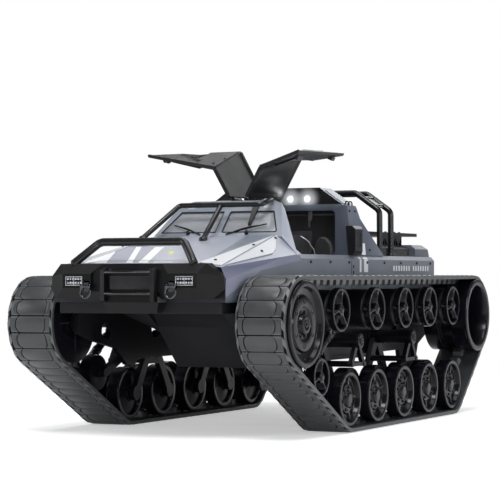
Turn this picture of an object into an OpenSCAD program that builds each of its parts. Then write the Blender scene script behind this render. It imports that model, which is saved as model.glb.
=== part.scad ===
// Tracked RC vehicle, about 1:12: two rubber tracks on sprung running gear, a folded armour
// body with gullwing doors, and the drive inside. Millimetres. Front is -Y, left is +X, up is +Z.
// The origin is on the ground under the middle of the vehicle.

/* [Tracks] */
// Inner edge of each belt from the centre line
belt_in = 79.4; // [79:0.1:80]
// Width of each belt
belt_w = 40.6; // [40:0.1:41]
// Thickness of the belt and its tread together
belt_t = 3.8; // [3.6:0.1:4]
// Depth of the grooves between the tread links
tread_h = 1.3; // [0.8:0.1:1.6]
// Number of links on each belt
links = 79; // [60:1:90]
// Height of the guide lugs inside the belt
lug_h = 4.5; // [3:0.1:4.6]

/* [Wheels] */
// Radius of the road wheels
road_r = 21.9; // [20:0.1:22]
// Radius of the return rollers
roller_r = 17.5; // [15:0.1:17.8]
// Radius of the front wheel and of the drive drum
end_r = 32.4; // [31:0.1:32.6]
// Radius of the small sprung tension wheel
tension_r = 15; // [13:0.1:15.2]
// Distance between neighbouring road wheels
road_pitch = 59.1; // [57:0.1:59.5]
// Running clearance on every wheel axle, on the radius
run_fit = 0.06; // [0.03:0.01:0.1]

/* [Body] */
// Half width of the body sides
body_hw = 75; // [74:0.1:75.5]
// Thickness of the body panels
wall = 2.5; // [2:0.1:3]
// How far the doors stand open
door_open = 65; // [40:1:65]
// Radius of the roll hoop tubes
hoop_r = 2.65; // [2:0.05:3]
// Radius of the bull bar tube
bull_r = 3.2; // [2.5:0.1:3.5]
// Radius of the windscreen guard tubes
guard_r = 2.15; // [1.6:0.05:2.4]

/* [Hidden] */
$fn = 48;

// running gear stations, [y, z]
idler_c = [-182.6, 88];
drive_c = [204.7, 88];
road_y = [for (i = [0:4]) -87.9 + i * road_pitch];
road_z = 26.7;
roller_y = [-104.8, -30.3, 34.6, 93.3, 152.2];
roller_z = 97.6;
bogie_z = 72;
tens_c = [-140, 46];
tens_p = [-108, 60];
damp_t = [-88, 80];
hinge_x = 6;
hinge_z = 188;

black = "#1b1c1f";
dark = "#2a2c31";
bodyc = "#5d6472";
pale = "#9aa0aa";

// ---------- helpers ----------
module hp(p) { hull() polyhedron(points = p, faces = [for (i = [0:len(p) - 3]) [i, i + 1, i + 2]]); }
module alongx(x0, x1) { translate([x0, 0, 0]) rotate([90, 0, 90]) linear_extrude(x1 - x0) children(); }
module alongy(y0, y1) { translate([0, y1, 0]) rotate([90, 0, 0]) linear_extrude(y1 - y0) children(); }
module cylx(x0, x1, c, r, fn = 48) { translate([x0, c[0], c[1]]) rotate([0, 90, 0]) cylinder(h = x1 - x0, r = r, $fn = fn); }
module cyly(y0, y1, c, r, fn = 48) { translate([c[0], y1, c[1]]) rotate([90, 0, 0]) cylinder(h = y1 - y0, r = r, $fn = fn); }
module turnx(c) { translate([0, c[0], c[1]]) rotate([0, 90, 0]) rotate_extrude($fn = 96) children(); }
module bar2(p, q, w) {
  d = q - p;
  translate(p) rotate(atan2(d[1], d[0])) translate([0, -w / 2]) square([norm(d), w]);
  translate(p) circle(d = w);
  translate(q) circle(d = w);
}
module box(a, b) { translate(a) cube(b - a); }
module lr() { children(); mirror([1, 0, 0]) children(); }
module side(s) { if (s > 0) children(); else mirror([1, 0, 0]) children(); }

function unit(v) = v / norm(v);
// a path with each inner corner replaced by a short arc
function soft(p, r, n = 5) = concat([p[0]], [for (i = [1:len(p) - 2])
    let (a = unit(p[i - 1] - p[i]), b = unit(p[i + 1] - p[i]), h = acos(a * b) / 2, t = r / tan(h),
         m = unit(a + b), c = p[i] + m * (r / sin(h)), u = unit(p[i] + a * t - c), w = unit(p[i] + b * t - c),
         g = acos(u * w))
      for (k = [0:n]) c + r * (u * sin(g * (1 - k / n)) + w * sin(g * k / n)) / sin(g)], [p[len(p) - 1]]);
// a round tube swept along points that lie in one plane with normal nv
module tube(p, r, nv, n = 16) {
  m = len(p);
  t = [for (i = [0:m - 1]) unit((i == 0 ? p[1] - p[0] : unit(p[i] - p[i - 1]) + (i == m - 1 ? [0, 0, 0] : unit(p[i + 1] - p[i]))))];
  pts = [for (i = [0:m - 1]) let (u = unit(nv), w = cross(t[i], u))
      for (k = [0:n - 1]) p[i] + r * (u * cos(360 * k / n) + w * sin(360 * k / n))];
  polyhedron(points = pts, faces = concat([[for (k = [0:n - 1]) k]], [[for (k = [n - 1:-1:0]) (m - 1) * n + k]],
    [for (i = [0:m - 2]) for (k = [0:n - 1]) [i * n + k, (i + 1) * n + k, (i + 1) * n + (k + 1) % n, i * n + (k + 1) % n]]));
}

// ---------- belt ----------
function bc(i) = [[-87.9, 26.7, 26.7 - belt_t], [-87.9 + 4 * road_pitch, 26.7, 26.7 - belt_t], [204.7, 88, 37 - belt_t], [-182.6, 88, 37 - belt_t]][(i + 4) % 4];
function cy(i) = [bc(i)[0], bc(i)[1]];
// direction of the outward normal on the run from circle i to circle i+1
function na(i) = let (d = cy(i + 1) - cy(i)) atan2(d[1], d[0]) - acos((bc(i)[2] - bc(i + 1)[2]) / norm(d));
function sweepa(i) = (na(i) - na(i - 1) + 720) % 360;
function dir(a) = [cos(a), sin(a)];
function runlen(i) = norm(cy(i + 1) + dir(na(i)) * bc(i + 1)[2] - cy(i) - dir(na(i)) * bc(i)[2]);
function arclen(i) = sweepa(i) * PI / 180 * (bc(i)[2] + 2);
function sbase(i) = i == 0 ? 0 : sbase(i - 1) + arclen(i - 1) + runlen(i - 1);
belt_len = sbase(4);
// a point at distance s along the belt, h outside its inner face
function on(s, h) = let (q = (s + 4 * belt_len) % belt_len, i = [for (k = [0:3]) if (q >= sbase(k) && q < sbase(k + 1)) k][0], e = q - sbase(i))
    e < arclen(i) ? cy(i) + dir(na(i - 1) + sweepa(i) * e / arclen(i)) * (bc(i)[2] + h)
                  : cy(i) + dir(na(i)) * (bc(i)[2] + h) + dir(na(i) + 90) * (e - arclen(i));
function outline(h) = [for (i = [0:3]) let (n = ceil(sweepa(i) / 6)) for (k = [0:n]) cy(i) + dir(na(i - 1) + sweepa(i) * k / n) * (bc(i)[2] + h)];
lp = belt_len / links;
tread_pts = [for (i = [0:links - 1]) each [on(i * lp + 0.7, belt_t), on((i + 0.35) * lp, belt_t), on((i + 0.65) * lp, belt_t),
    on((i + 1) * lp - 0.7, belt_t), on((i + 1) * lp - 0.6, belt_t - tread_h), on((i + 1) * lp + 0.6, belt_t - tread_h)]];
lug_pts = [for (i = [0:links - 1]) each [on(i * lp + 3, 0.6), on(i * lp + 3.6, -lug_h), on((i + 1) * lp - 3.6, -lug_h), on((i + 1) * lp - 3, 0.6)]];

module track_belt() color(black) {
  alongx(belt_in, belt_in + belt_w) difference() { polygon(tread_pts); polygon(outline(0)); }
  alongx(95.5, 104.5) difference() { polygon(outline(0.9)); polygon(lug_pts); }
}

// ---------- wheels ----------
module bolts_on(c, x, n, rr, r, h, off = 0) { for (i = [0:n - 1]) cylx(x, x + h, c + rr * dir(off + 360 * i / n), r, 6); }
module front_idler() color(dark) {
  c = idler_c;
  difference() {
    turnx(c) polygon([[3 + run_fit, 80], [end_r, 80], [end_r, 93.5], [26.5, 94.5], [26.5, 105.5], [end_r, 106.5], [end_r, 119.6],
      [end_r + 0.5, 120.4], [end_r + 0.5, 122], [end_r, 122.5], [28.5, 122.5], [27.6, 118.5], [22, 117.5], [20.5, 120.2], [13, 120.2], [11.5, 118.3],
      [7.5, 118.3], [7, 121], [2, 121.6], [0, 121.6], [0, 113], [3 + run_fit, 113]]);
    for (i = [0:5]) cylx(116, 124, c + 16.8 * dir(30 + 60 * i), 1.5, 24);
  }
  bolts_on(c, 118.2, 8, 9.4, 1.1, 1.4, 22);
}
module drive_sprocket() color(dark) {
  c = drive_c;
  turnx(c) polygon([[0, 60], [3, 60], [3, 79.5], [10, 80], [end_r, 80], [end_r, 93.5], [27.4, 94.5], [27.4, 105.5], [end_r, 106.5], [end_r, 119.6],
    [end_r + 0.5, 120.4], [end_r + 0.5, 122], [end_r, 122.5], [27.2, 122.5], [26.6, 120], [25.2, 108], [25.2, 88], [8, 88], [7, 95], [0, 95]]);
  bolts_on(c, 87.9, 6, 14, 1.3, 1.6);
}
module road_wheel(i) color(dark) {
  c = [road_y[i], road_z];
  turnx(c) polygon([[2.5 + run_fit, 81.2], [7, 81.2], [7, 83], [17.6, 85], [18.2, 82.5], [road_r - 0.5, 82.5], [road_r, 83], [road_r, 93], [road_r - 0.5, 93.5], [18, 93.5], [16.5, 91],
    [10, 91], [9.5, 105], [9.5, 109], [17, 109], [18, 106.5], [road_r - 0.5, 106.5], [road_r, 107], [road_r, 117], [road_r - 0.5, 117.5], [18.6, 117.5], [17.8, 113.6],
    [12.6, 112.8], [11.4, 114.6], [6.8, 114.6], [6.2, 116.6], [3.6, 117.2], [0, 117.2], [0, 114.2], [2.5 + run_fit, 114.2]]);
  bolts_on(c, 114.5, 6, 9.1, 1.15, 1.2, 12);
}
module spoke_disc(c, R, x0, x1, hub, w) {
  difference() { cylx(x0, x1, c, R, 96); cylx(x0 - 1, x1 + 1, c, R - 2.2, 96); }
  for (a = [75, 195, 315]) alongx(x0 + 0.8, x1 - 0.8) translate(c) rotate(a) translate([0, -w / 2]) square([R - 1, w]);
  cylx(x0, x1 + 0.2, c, hub);
}
module return_roller(i) color(dark) {
  c = [roller_y[i], roller_z];
  difference() {
    union() {
      cylx(83, 108.6, c, roller_r - 1.7);
      spoke_disc(c, roller_r, 112, 117.3, 4.6, 2.6);
      cylx(108, 113, c, 6);
    }
    cylx(82, 111, c, 2 + run_fit);
  }
  cylx(117.2, 118.2, c, 2.4, 6);
}
module tension_wheel() color(dark) {
  c = tens_c;
  difference() {
    union() {
      cylx(83, 93, c, tension_r - 0.5);
      spoke_disc(c, tension_r, 108, 115.5, 4.4, 2.4);
      cylx(105.5, 109, c, 5);
      cylx(92, 95, c, 5);
    }
    cylx(82, 114, c, 2 + run_fit);
  }
}

// ---------- suspension ----------
module side_frame() color(black) {
  difference() {
    alongx(70, 74) polygon([[-194, 80], [-192, 94], [-172, 103.5], [213, 103.5], [215, 78], [176, 62], [158, 22], [152, 17], [144, 17], [139, 22], [128, 58],
      [-96, 56], [-104, 50], [-116, 52], [-134, 66], [-176, 74]]);
    for (y = [-150, -66, -5, 62, 115]) cylx(69, 75, [y, 80], 7);
    cylx(69, 75, drive_c, 3 + run_fit);
  }
  // axle pins and their collars, seated on the plate
  p0 = 74.02;
  cylx(p0, 79.4, idler_c, 8); cylx(p0, 112.4, idler_c, 3);
  for (y = roller_y) { cylx(p0, 81, [y, roller_z], 5); cylx(p0, 110.4, [y, roller_z], 2); }
  for (b = [0, 1]) { cylx(p0, 75.6, [(road_y[2 * b] + road_y[2 * b + 1]) / 2, bogie_z], 7); cylx(p0, 110, [(road_y[2 * b] + road_y[2 * b + 1]) / 2, bogie_z], 3); }
  cylx(p0, 80.5, [road_y[4], road_z], 6.5); cylx(p0, 113.6, [road_y[4], road_z], 2.5);
  cylx(p0, 80.2, tens_p, 2.5);
  cylx(p0, 103, damp_t, 1.5); cylx(p0, 95.6, damp_t, 3);
  box([p0, -160, 87.6], [77, 158, 90.4]);
}
module bogie(b) color(black) {
  p = [(road_y[2 * b] + road_y[2 * b + 1]) / 2, bogie_z];
  w = [[road_y[2 * b], road_z], [road_y[2 * b + 1], road_z]];
  k = [for (q = w) p + (q - p) * 0.42];
  difference() {
    union() {
      alongx(76, 80.5) { bar2(p, w[0], 8); bar2(p, w[1], 8); bar2(k[0], k[1], 5); translate(w[0]) circle(6); translate(w[1]) circle(6); }
      cylx(76, 114, p, 5.8);
      alongx(108.5, 112) { bar2(p, k[0], 4); bar2(p, k[1], 4); bar2(k[0], k[1], 3); }
      for (q = k) cylx(80.4, 112.6, q, 1.9);
      for (q = w) cylx(80.4, 113.6, q, 2.5);
    }
    cylx(75, 115, p, 3 + run_fit);
  }
}
module tension_arm() color(black) {
  difference() {
    union() {
      alongx(76, 80.2) { bar2(tens_p, tens_c, 7); translate(tens_p) circle(5.5); }
      cylx(80.1, 82.3, tens_c, 4);
      cylx(80.1, 113.4, tens_c, 2);
    }
    cylx(75, 81, tens_p, 2.5 + run_fit);
  }
}
damp_u = unit(damp_t - tens_c);
damp_a = atan2(damp_u[1], damp_u[0]);
module tension_damper() color("#8d9096") {
  n = norm(damp_t - tens_c);
  difference() {
    union() {
      cylx(96.2, 103.8, tens_c, 4.4);
      translate([100, tens_c[0], tens_c[1]]) rotate([damp_a - 90, 0, 0]) {
        translate([0, 0, 3.8]) cylinder(h = 26, r = 1.6);
        translate([0, 0, 29.7]) cylinder(h = n - 35.6, r = 3.4);
        for (z = [31, 49]) translate([0, 0, z]) cylinder(h = 2, r = 4);
        translate([-2.6, -3.8, n - 6]) cube([5.2, 7.6, 10]);
      }
    }
    cylx(95, 105, tens_c, 2 + run_fit);
    translate([100, tens_c[0], tens_c[1]]) rotate([damp_a - 90, 0, 0]) hull2(n);
  }
}
// slot that leaves the damper free of the frame pin over its stroke
module hull2(n) {
  for (z = [n - 1.2, n + 0.4]) translate([-4, 0, z]) rotate([0, 90, 0]) cylinder(h = 8, r = 2);
  translate([-4, -2, n - 1.2]) cube([8, 4, 1.6]);
}

// ---------- lower hull and drive ----------
module hull_tub() color(black) {
  difference() {
    union() {
      box([-70, -222, 96], [70, 214, 104.5]);
      hp([[-33, -97, 50], [33, -97, 50], [-35, -141, 96.5], [35, -141, 96.5], [-35, 196, 96.5], [35, 196, 96.5], [-33, 168, 50], [33, 168, 50]]);
      for (s = [-1, 1]) hp([[s * 34, -120, 78], [s * 34, 120, 78], [s * 60, -150, 96.5], [s * 60, 150, 96.5], [s * 34, -150, 96.5], [s * 34, 150, 96.5]]);
    }
    hp([[-31, -94, 52.5], [31, -94, 52.5], [-32.5, -136, 98], [32.5, -136, 98], [-32.5, 192, 98], [32.5, 192, 98], [-31, 165, 52.5], [31, 165, 52.5]]);
    box([-66, -200, 98.5], [66, 206, 105]);
    for (s = [-1, 1]) hp([[s * 30, -118, 81.5], [s * 30, 118, 81.5], [s * 56, -146, 99], [s * 56, 146, 99], [s * 30, -146, 99], [s * 30, 146, 99]]);
  }
}
module drive_units() color("#6a6d72") lr() {
  difference() { box([40, 190, 74], [69.4, 213, 95.8]); cylx(58, 71, drive_c, 3 + run_fit); cylx(66.5, 71, drive_c, 6); }
  difference() { cylx(66.6, 69.3, drive_c, 5.9); cylx(66, 70, drive_c, 3 + run_fit); }
}
module motors() color("#6a6d72") for (s = [-1, 1]) {
  translate([s * 15, 120, 68]) rotate([-90, 0, 0]) { cylinder(h = 44, r = 13); translate([0, 0, -6]) cylinder(h = 6.1, r = 4); translate([0, 0, 43.9]) cylinder(h = 3, r = 8); translate([0, 0, 46]) cylinder(h = 4, r = 1.6); }
}
module battery_pack() color("#35507a") {
  box([-24, -78, 52.6], [24, 54, 80]);
  box([-10, 54, 60], [-2, 60, 68]);
  box([2, 54, 60], [10, 60, 68]);
}
module control_board() color("#1f5c3a") {
  box([-26, -70, 84], [26, 40, 85.6]);
  box([-20, -60, 85.6], [2, -28, 97]);
  box([6, -58, 85.6], [22, -36, 91]);
  for (x = [-22, 22]) for (y = [-66, 36]) translate([x, y, 80]) cylinder(h = 4, r = 2);
  for (i = [0:3]) translate([-14 + 8 * i, -10, 85.6]) cylinder(h = 9, r = 3);
}

// ---------- body ----------
module hood_solid(o) {
  hp([for (s = [-1, 1]) each [[s * (74 - o), -224 + o, 104.5 - 3 * o], [s * (74.5 - o), -224 + o, 122], [s * (70.3 - o), -224 + o, 131 - o], [s * (50 - o), -224 + o, 133.6 - o],
      [s * (body_hw - o), -88, 104.5 - 3 * o], [s * (body_hw - o), -88, 137 - o * 0.4], [s * (72.2 - o), -88, 142 - o], [s * (54 - o), -88, 158 - o]]]);
}
// the sloping facet between the hood edge and the side crease, in its own plane
fa = [70.3, -224, 131]; fc = [54, -88, 158]; fd = [72.2, -88, 142];
fn = unit(cross(fd - fa, fc - fa));
function fender(u, v, o = 0) = fa + u * (fc - fa) + v * (fd - fa) + o * fn;
// the flatter facet between that one and the hood edge
ga = [50, -224, 133.6];
gn = unit(cross(fa - ga, fc - ga));
function shoulder(u, v, o = 0) = ga + u * (fa - ga) + v * (fc - ga) + o * gn;
module ws_frame() translate([0, -90, 157]) rotate([45, 0, 0]) children();
module body_shell() color(bodyc) difference() {
  union() {
    difference() { hood_solid(0); hood_solid(wall); box([-52, -91, 130], [52, -80, 156.5]); }
    // body sides and deck rim
    difference() {
      alongy(-88, 216) polygon([[-body_hw, 104.5], [body_hw, 104.5], [body_hw, 138.5], [72, 142], [-72, 142], [-body_hw, 138.5]]);
      alongy(-89, 213) polygon([[-body_hw + wall, 100], [body_hw - wall, 100], [body_hw - wall, 139.4], [-body_hw + wall, 139.4]]);
      box([-63, -92, 130], [63, 44, 150]);
      box([-62, 62, 130], [62, 174, 150]);
    }
    // windscreen frame
    ws_frame() difference() {
      translate([0, 0, -2.6]) linear_extrude(3.2) polygon([[-59, -1.5], [59, -1.5], [46, 38.6], [-46, 38.6]]);
      translate([0, 0, -3]) linear_extrude(4) polygon([[-52.6, 4], [-3, 4], [-3, 28.5], [-42.4, 28.5]]);
      translate([0, 0, -3]) linear_extrude(4) polygon([[52.6, 4], [3, 4], [3, 28.5], [42.4, 28.5]]);
    }
    // header
    hp([for (s = [-1, 1]) each [[s * 46.3, -62.8, 184.3], [s * 44.8, -61.8, 182], [s * 36.2, -54.4, 184], [s * 35.2, -54.4, 187.4], [s * 33, -53.4, 187.4], [s * 37, -58, 187]]]);
    // pillars beside the windscreen, from the cowl to the header
    lr() hp([[52.4, -86.2, 161.2], [53.5, -89, 158.3], [58.8, -91.3, 156.6], [73, -91, 141], [65.5, -86, 142], [60, -86, 152], [45.9, -62.8, 184.5], [49, -63.4, 179.5], [44, -62.6, 182], [48.2, -63.4, 180]]);
    lr() hp([[73, -91, 141], [65.5, -86, 142], [65.5, -80.5, 142], [72, -80.5, 141.5], [59.8, -88, 155], [57, -85.5, 156], [59, -86, 150]]);
  }
  // shallow handle recess beside the windscreen
  hp([for (k = [0, 1]) each [[30, -61.5, 186.8 - 1.2 + 3 * k], [39, -61.5, 186 - 1.2 + 3 * k], [38, -56.5, 187.2 - 1.2 + 3 * k], [31, -56.5, 187.2 - 1.2 + 3 * k]]]);
}
module windscreen_glass() color("#9fb3bd", 0.5) ws_frame() {
  translate([0, 0, -1.8]) linear_extrude(1.2) polygon([[-52.4, 4.1], [-3.1, 4.1], [-3.1, 28.4], [-42.3, 28.4]]);
  translate([0, 0, -1.8]) linear_extrude(1.2) polygon([[52.4, 4.1], [3.1, 4.1], [3.1, 28.4], [42.3, 28.4]]);
}
// pivot p, blade from a to b, all in the plane of the windscreen
module wiper(p, a, b) {
  translate([p[0], p[1], 0.6]) cylinder(h = 2.4, r = 1.8);
  translate([0, 0, 1.9]) linear_extrude(1) bar2(p, (a + b) / 2 + [3, 1.5], 1.6);
  translate([0, 0, 1.3]) linear_extrude(1.5) bar2(a, b, 1.2);
}
module wipers() color(black) ws_frame() { wiper([26.4, 2.2], [8.3, 0.8], [41.2, 12.4]); wiper([-27, 2.4], [-42.9, 12], [-15.3, 0.8]); }
module bolt_on_plates() lr() {
  color(pale) hp([for (o = [0.02, 1.1]) each [fender(0.955, 0.012, o), fender(0.35, 0.43, o), fender(0.185, 0.515, o), fender(0.03, 0.012, o)]]);
  color(pale) hp([for (o = [0.02, 1.1]) each [shoulder(0.05, 0.02, o), shoulder(0.93, 0.02, o), shoulder(0.03, 0.93, o)]]);
  color(black) difference() {
    hp([for (y = [12.4, 32]) each [[73.1, y, 142.3], [80, y, 142.3], [80, y, 167], [70.9, y, 167]]]);
    hp([for (y = [11, 34]) each [[76, y, 168], [81, y, 163], [81, y, 168]]]);
    hp([for (y = [11, 34]) each [[76.5, y, 142], [81, y, 146.5], [81, y, 142]]]);
    hp([for (z = [140, 169]) each [[81, 27, z], [81, 33, z], [77, 33, z]]]);
    box([79.3, 15.5, 149.5], [81, 25.5, 160.5]);
  }
}

// ---------- front ----------
module front_bumper() color(black) {
  difference() {
    union() {
      hp([for (s = [-1, 1]) each [[s * 57.8, -238.5, 126.3], [s * 57.8, -238.5, 115.5], [s * 62.6, -232.8, 134], [s * 67.5, -231.4, 107.4],
          [s * 74.2, -226.5, 124.7], [s * 75, -225.9, 114.7], [s * 63.4, -224.1, 134], [s * 73.6, -224.1, 124.7], [s * 74.4, -224.1, 114.7], [s * 67.5, -224.1, 107.4]]]);
      box([-24, -237.4, 104.6], [24, -224.1, 110]);
      hp([for (s = [-1, 1]) each [[s * 24, -236, 104.7], [s * 24, -224.1, 104.7], [s * 21, -233, 96.5], [s * 21, -224.1, 96.5]]]);
    }
    for (s = [-1, 1]) box([s * 47.4 - 7.6, -240, 117.2], [s * 47.4 + 7.6, -235, 124.6]);
    box([-33, -240, 109.5], [33, -236.2, 126.3]);
    hp([for (y = [-240, -236.2]) each [[-33, y, 126.2], [33, y, 126.2], [-25, y, 134.4], [25, y, 134.4]]]);
    box([-52, -228.4, 132.6], [52, -224, 135]);
    for (s = [-1, 1]) box([s * 36.5 - 2.2, -240, 112.5], [s * 36.5 + 2.2, -236.6, 121]);
  }
  for (s = [-1, 1]) hp([for (x = [s * 19.6, s * 23]) each [[x, -236.1, 104.7], [x, -241.7, 106], [x, -241.7, 129], [x, -236.1, 131]]]);
  for (z = [111.3, 127.4]) cylx(-19.8, 19.8, [-240, z], 1.5);
}
module tow_shackles() color("#3c3e43") for (s = [-1, 1]) {
  box([s * 36.5 - 2.2, -239.4, 112.5], [s * 36.5 + 2.2, -236.6, 121]);
  translate([s * 36.5, -240.4, 112.4]) rotate([90, 0, 0]) rotate_extrude($fn = 48) translate([4.4, 0]) circle(r = 1.05, $fn = 20);
  cylx(s * 36.5 - 3.2, s * 36.5 + 3.2, [-240.2, 116.8], 1.2);
}
module bull_bar() color(black) {
  tube(soft([[-51.8, -231.8, 134.05], [-36.4, -217.4, 150.6], [36.4, -217.4, 150.6], [51.8, -231.8, 134.05]], 7), bull_r, [0, 16.55, -14.4]);
}
module windscreen_guard() color(black) {
  tube(soft([[-56.2, -113.2, 155.9], [-38, -83, 183], [37.5, -83, 183], [37.5, -64.5, 187]], 4.2), guard_r, [0, -1, 0.02]);
}
module guard2() color(black) {
  n = [1, 0, 0];
  tube([[0, -114.8, 154.3], [0, -82.5, 182.6]], guard_r, n);
  hp([for (o = [0.62, 2]) each [[21.4, -64.2 - o * 0.7, 182.8 + o * 0.7], [27.6, -64.2 - o * 0.7, 182.8 + o * 0.7], [24.8, -81.8 - o * 0.7, 165.2 + o * 0.7], [26.8, -81.8 - o * 0.7, 165.2 + o * 0.7]]]);
}

// ---------- doors ----------
module door_closed() {
  f0 = [37.6, -52.3, 186.4]; f1 = [57.6, 17, 185.2];
  b0 = [67.5, -81, 146.2]; b1 = [70.2, 10, 146.2];
  h0 = [9.6, -52.3, 188.4]; h1 = [9.6, 17, 188.4];
  difference() {
    union() {
      hp([h0, h1, f0, f1, [9.6, -52.3, 186], [9.6, 17, 186], f0 - [1.2, 0, 2.6], f1 - [1.2, 0, 2.6]]);
      hp([f0, f1, b0, b1, f0 - [2.6, 0, 0.6], f1 - [2.6, 0, 0.6], b0 - [2.4, -0.6, 0], b1 - [2.4, 0, 0]]);
      // raised inner frame round the window
      difference() {
        hp([[45.2, -53, 174], [57.2, 5, 176], [63.4, 3, 156], [59.6, -60, 156], [42.6, -53, 173.4], [54.6, 5, 175.4], [61, 3, 155.4], [57.2, -60, 155.4]]);
        hp([[36, -49, 171], [66, -49, 173], [66, 0, 173.6], [36, 0, 173.6], [36, -54, 159.6], [66, -54, 159.6], [66, -2, 159.6], [36, -2, 159.6]]);
      }
      for (y = [[-44, -36], [1, 9]]) { cyly(y[0], y[1], [hinge_x, hinge_z], 2.1); box([hinge_x, y[0], 186.2], [10.6, y[1], 188.4]); }
      // inside grab handle
      cyly(-34, -12, [53.2, 164], 0.9);
    }
    hp([[36, -48, 172], [66, -48, 172], [66, -1, 172.6], [36, -1, 172.6], [36, -53, 160.6], [66, -53, 160.6], [66, -3, 160.6], [36, -3, 160.6]]);
    for (y = [[-45, -35], [0, 10]]) cyly(y[0], y[1], [hinge_x, hinge_z], 1.2 + 0.05);
  }
}
module door_pose() translate([hinge_x, 0, hinge_z]) rotate([0, -door_open, 0]) translate([-hinge_x, 0, -hinge_z]) door_closed();
module door_hinges() color(black) {
  box([-4.4, -52.9, 182.5], [4.4, 20.9, 185.4]);
  lr() for (y = [[-47.6, -44.4], [-35.6, -32.4], [-2.6, 0.6], [9.4, 12.6]]) difference() {
    union() { box([3, y[0], 182.5], [hinge_x + 1, y[1], hinge_z]); cyly(y[0], y[1], [hinge_x, hinge_z], 2.1); }
  }
  lr() for (y = [[-47.5, -32.5], [-2.5, 12.5]]) cyly(y[0], y[1], [hinge_x, hinge_z], 1.2);
}

// ---------- rear ----------
module rear_roof() color(bodyc) {
  difference() {
    alongy(21, 46) polygon([[-69, 142.05], [69, 142.05], [66.5, 184], [43, 200.5], [-43, 200.5], [-66.5, 184]]);
    alongy(25, 43) polygon([[-66, 138], [66, 138], [63.4, 180.8], [-63.4, 180.8]]);
    alongy(20, 26) polygon([[-57.5, 145], [57.5, 145], [57.5, 178.2], [55.2, 180.6], [-55.2, 180.6], [-57.5, 178.2]]);
    alongy(20, 22.2) polygon([[-64, 186], [64, 186], [42.6, 199], [-42.6, 199]]);
    alongy(25, 43.5) polygon([[-62, 185], [62, 185], [42, 198], [-42, 198]]);
    for (x = [-31.5, -15.5, 15.5, 31.5]) cyly(20, 24, [x, 190.9], 4.1);
  }
  lr() {
    hp([for (o = [0, 4.6]) each [[73 - o, 21, 142.05], [73 - o, 46, 142.05], [68.9 - o, 21, 184.6], [68.9 - o, 40, 184.6], [70.2 - o, 46, 174.6]]]);
    hp([for (o = [0, 2.4]) each [[73 - o, 45.9, 142.05], [73 - o, 94.5, 142.05], [70.2 - o, 49, 170.6], [69.8 - o, 45.9, 174.8]]]);
  }
}
module lamp_units() {
  color("#f4f6f8") for (x = [-31.5, -15.5, 15.5, 31.5]) { cyly(20.4, 23.9, [x, 190.9], 4); }
  color("#f4f6f8") for (s = [-1, 1]) { box([s * 47.4 - 7.5, -239.4, 117.3], [s * 47.4 + 7.5, -235.1, 124.5]); }
  color("#c03028") for (s = [-1, 1]) box([s * 60 - 8, 216, 124], [s * 60 + 8, 218.4, 132]);
}
module roll_hoops() color(black) {
  for (y = [97.2, 124]) tube(soft([[-68, y, 142.05], [-67.8, y, 182.4], [-45, y, 198.6], [45, y, 198.6], [67.8, y, 182.4], [68, y, 142.05]], 7), hoop_r, [0, 1, 0]);
  for (s = [-1, 1]) {
    for (k = [0.3, 0.72]) let (p = [67.8 - 22.8 * k, 182.4 + 16.2 * k]) cyly(98, 123, [s * p[0], p[1]], 1.6);
  }
  for (x = [-30, 30]) cyly(46.1, 97, [x, 195.8], 1.7);
}
module engine_deck() color(dark) {
  difference() {
    alongy(62, 178) polygon([[-63.9, 142.05], [63.9, 142.05], [63.9, 148.6], [62, 151], [-62, 151], [-63.9, 148.6]]);
    alongy(61, 175) polygon([[-59, 130], [59, 130], [59, 148.4], [-59, 148.4]]);
    for (s = [-1, 1]) for (i = [0:9]) box([s > 0 ? 61.4 : -66, 112 + i * 6.2, 143.6], [s > 0 ? 66 : -61.4, 115.4 + i * 6.2, 148.4]);
    for (i = [0:8]) box([-50, 112 + i * 6.6, 147], [50, 115 + i * 6.6, 152]);
  }
  hp([for (s = [-1, 1]) each [[s * 70.5, 178.1, 142.05], [s * 70.5, 215, 142.05], [s * 70.5, 178.1, 149], [s * 70.5, 211, 149], [s * 66, 178.1, 153], [s * 66, 206, 153]]]);
}
module rear_rack() color(black) {
  difference() {
    box([-60, 88, 161], [60, 210, 164]);
    for (i = [0:6]) box([-52, 98 + i * 15, 160], [-44, 105 + i * 15, 165]);
    for (i = [0:6]) box([44, 98 + i * 15, 160], [52, 105 + i * 15, 165]);
    for (i = [0:6]) box([-34, 98 + i * 15, 160], [34, 105 + i * 15, 165]);
    for (x = [-39, 39]) for (y = [108, 178]) translate([x, y, 160]) cylinder(h = 5, r = 1.6);
  }
  lr() for (y = [126, 152]) difference() {
    box([55, y, 151.05], [58, y + 24, 161]);
    for (k = [0:2]) alongx(54, 59) translate([y + 4.6 + k * 7.4, 156]) polygon([[-3, -3.2], [3, -3.2], [k == 1 ? -3 : 3, 3.2]]);
  }
}

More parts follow.
